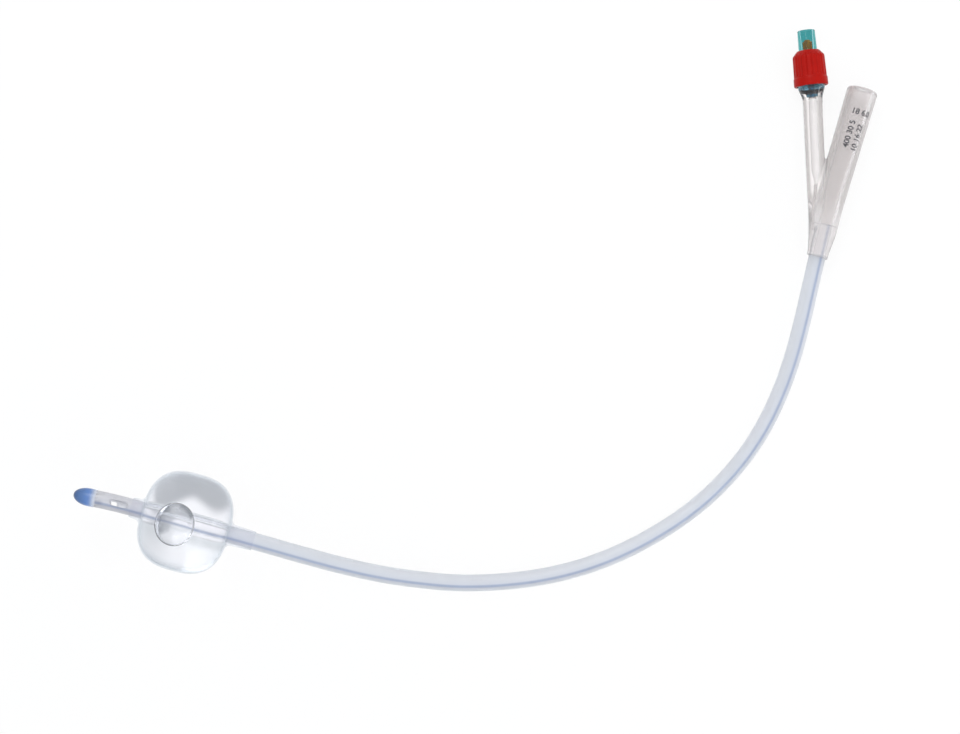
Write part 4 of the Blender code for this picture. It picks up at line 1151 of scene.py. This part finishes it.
def make_spring():
    """A helix of wire whose pitch closes up over three quarters of a turn at each end."""
    coils, closing, coil_radius, wire_radius = 5.5, 0.75, 0.00175, 0.0002
    foot, length = 0.0056, 0.0053
    share = np.linspace(0, 1, 5 * 48 + 25)
    turn = 2 * np.pi * coils * share
    ease = np.clip(share * coils / closing, 0, 1)
    ease = ease + np.clip((1 - share) * coils / closing, 0, 1) - 1
    rise = np.cumsum(0.25 + ease)
    height = foot + length * (rise - rise[0]) / (rise[-1] - rise[0])
    helix = np.column_stack([coil_radius * np.cos(turn), coil_radius * np.sin(turn), height])
    wire = swept(placed(helix, VALVE_FRAME), wire_radius, 12)
    spring = make_piece("valve_coil", [(shell(wire), 0)], [drawn_wire()])
    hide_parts("valve_spring")
    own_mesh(spring)


class CATHETER_OT_collar(bpy.types.Operator):
    """Turns the red collar, with its grip ribs and lower rim"""

    bl_idname = "catheter.collar"
    bl_label = "Collar"

    def execute(self, context):
        ribs = context.scene.catheter_sizes.ribs
        outline = [
            (0.00395, 0.0172), (0.00565, 0.0152), (0.00585, 0.0075), (0.00605, 0.0073),
            (0.00605, 0.0047), (0.00585, 0.0045), (0.0050, 0.0045), (0.0050, 0.0158),
            (0.0035, 0.0158), (0.0035, 0.0172),
        ]
        profile = with_even_rows(rounded(outline, 0.0004), 150)
        grip_radius, groove_depth, groove_width, steepness = 0.0058, 0.00026, 0.00032, 1.4
        columns = 16 * ribs
        pitch = 2 * np.pi * grip_radius / ribs
        across = ((round_turn(columns) * ribs / (2 * np.pi)) % 1 - 0.5) * pitch
        groove = groove_depth * np.exp(-((across / groove_width) ** 2) * steepness)
        # The grooves run between the lower rim and the upper edge, on the outside alone.
        radius, height = profile.T
        reach = np.clip((radius - 0.0043) / 0.0006, 0, 1) * (radius > 0.0051)
        reach = reach * np.clip((height - 0.0077) / 0.0004, 0, 1)
        reach = reach * np.clip((0.0171 - height) / 0.0008, 0, 1)
        grid = turned(profile, VALVE_FRAME, columns, swell=-reach[:, None] * groove)
        colour = context.scene.catheter_colours.collar
        made = moulded_plastic("Moulded red plastic", colour, 0.38, 0.22)
        collar = make_piece("red_collar", [(shell(grid, wrap_rows=True), 0)], [made])
        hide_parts("size_collar")
        return {"FINISHED"}


def with_even_rows(corners, count):
    """A closed profile with evenly spaced points between its own."""
    closed = np.vstack([corners, corners[:1]])
    along = np.concatenate([[0], np.cumsum(np.linalg.norm(np.diff(closed, axis=0), axis=1))])
    even = np.linspace(0, along[-1], count, endpoint=False)
    knots = np.unique(np.concatenate([even, along[:-1]]))
    return np.column_stack([np.interp(knots, along, c) for c in closed.T])


class CATHETER_OT_print(bpy.types.Operator):
    """Prints plain numbers round the top of the funnel"""

    bl_idname = "catheter.print"
    bl_label = "Print"

    def execute(self, context):
        height = context.scene.catheter_sizes.print_height
        ink = pad_ink(context.scene.catheter_colours.ink)
        print_figures("print_top", "18 6.0", height, 0.0995, 0.0010, 0.0, ink)
        print_figures("print_left", "400 30 5", height, 0.0912, -0.0010, 90.0, ink)
        print_figures("print_right", "10 16 22", height, 0.0905, 0.0022, 90.0, ink)
        return {"FINISHED"}


def print_figures(name, text, size, along, across, degrees, ink):
    """Figures as a thin closed mesh, their flat width wound round the funnel's radius."""
    curve = bpy.data.curves.new(name, "FONT")
    curve.body = text
    curve.size = size
    curve.align_x = "CENTER"
    curve.align_y = "CENTER"
    curve.extrude = 0.00001
    curve.offset = 0.00007
    flat = bpy.data.objects.new(name + "_flat", curve)
    bpy.context.scene.collection.objects.link(flat)
    graph = bpy.context.evaluated_depsgraph_get()
    mesh = bpy.data.meshes.new_from_object(flat.evaluated_get(graph))
    bpy.data.objects.remove(flat, do_unlink=True)
    mesh.materials.clear()
    cut_long_edges(mesh, 0.00045)
    places = np.empty(len(mesh.vertices) * 3)
    mesh.vertices.foreach_get("co", places)
    x, y, z = places.reshape(-1, 3).T
    turn = math.radians(degrees)
    right = x * math.cos(turn) - y * math.sin(turn) + across
    up = x * math.sin(turn) + y * math.cos(turn) + along
    proud, mean_radius = 0.00003, 0.0054
    radius = np.interp(up, *FUNNEL_RUN) + proud + z
    wound = right / mean_radius
    bent = [FUNNEL_X + radius * np.sin(wound), up, YOKE_HEIGHT + radius * np.cos(wound)]
    mesh.vertices.foreach_set("co", np.column_stack(bent).ravel())
    add_piece(name, mesh, [ink])


def cut_long_edges(mesh, longest):
    work = bmesh.new()
    work.from_mesh(mesh)
    bmesh.ops.remove_doubles(work, verts=work.verts, dist=1e-7)
    bmesh.ops.triangulate(work, faces=work.faces)
    long = [e for e in work.edges if e.calc_length() > longest]
    bmesh.ops.subdivide_edges(work, edges=long, cuts=3)
    bmesh.ops.triangulate(work, faces=work.faces)
    work.to_mesh(mesh)
    work.free()


class CATHETER_PT_build(bpy.types.Panel):
    """Lists the sizes, the colours and a button for each piece"""

    bl_idname = "CATHETER_PT_build"
    bl_label = "Balloon catheter"
    bl_space_type = "VIEW_3D"
    bl_region_type = "UI"
    bl_category = "Catheter"

    def draw(self, context):
        scene = context.scene
        for group in (scene.catheter_sizes, scene.catheter_colours):
            box = self.layout.box()
            for name in group.__annotations__:
                box.prop(group, name)
        for operator in OPERATORS:
            self.layout.operator(operator.bl_idname)


OPERATORS = (
    CATHETER_OT_stage,
    CATHETER_OT_tube,
    CATHETER_OT_tip,
    CATHETER_OT_balloon,
    CATHETER_OT_moulding,
    CATHETER_OT_valve,
    CATHETER_OT_collar,
    CATHETER_OT_print,
)
CLASSES = (CatheterSizes, CatheterColours, *OPERATORS, CATHETER_PT_build)


def register():
    for owner in CLASSES:
        bpy.utils.register_class(owner)
    bpy.types.Scene.catheter_sizes = bpy.props.PointerProperty(type=CatheterSizes)
    bpy.types.Scene.catheter_colours = bpy.props.PointerProperty(type=CatheterColours)


def unregister():
    del bpy.types.Scene.catheter_colours
    del bpy.types.Scene.catheter_sizes
    for owner in reversed(CLASSES):
        bpy.utils.unregister_class(owner)


def main():
    register()
    bpy.ops.catheter.stage()
    bpy.ops.catheter.tube()
    bpy.ops.catheter.tip()
    bpy.ops.catheter.balloon()
    bpy.ops.catheter.moulding()
    bpy.ops.catheter.valve()
    bpy.ops.catheter.collar()
    bpy.ops.catheter.print()


if __name__ == "__main__":
    main()
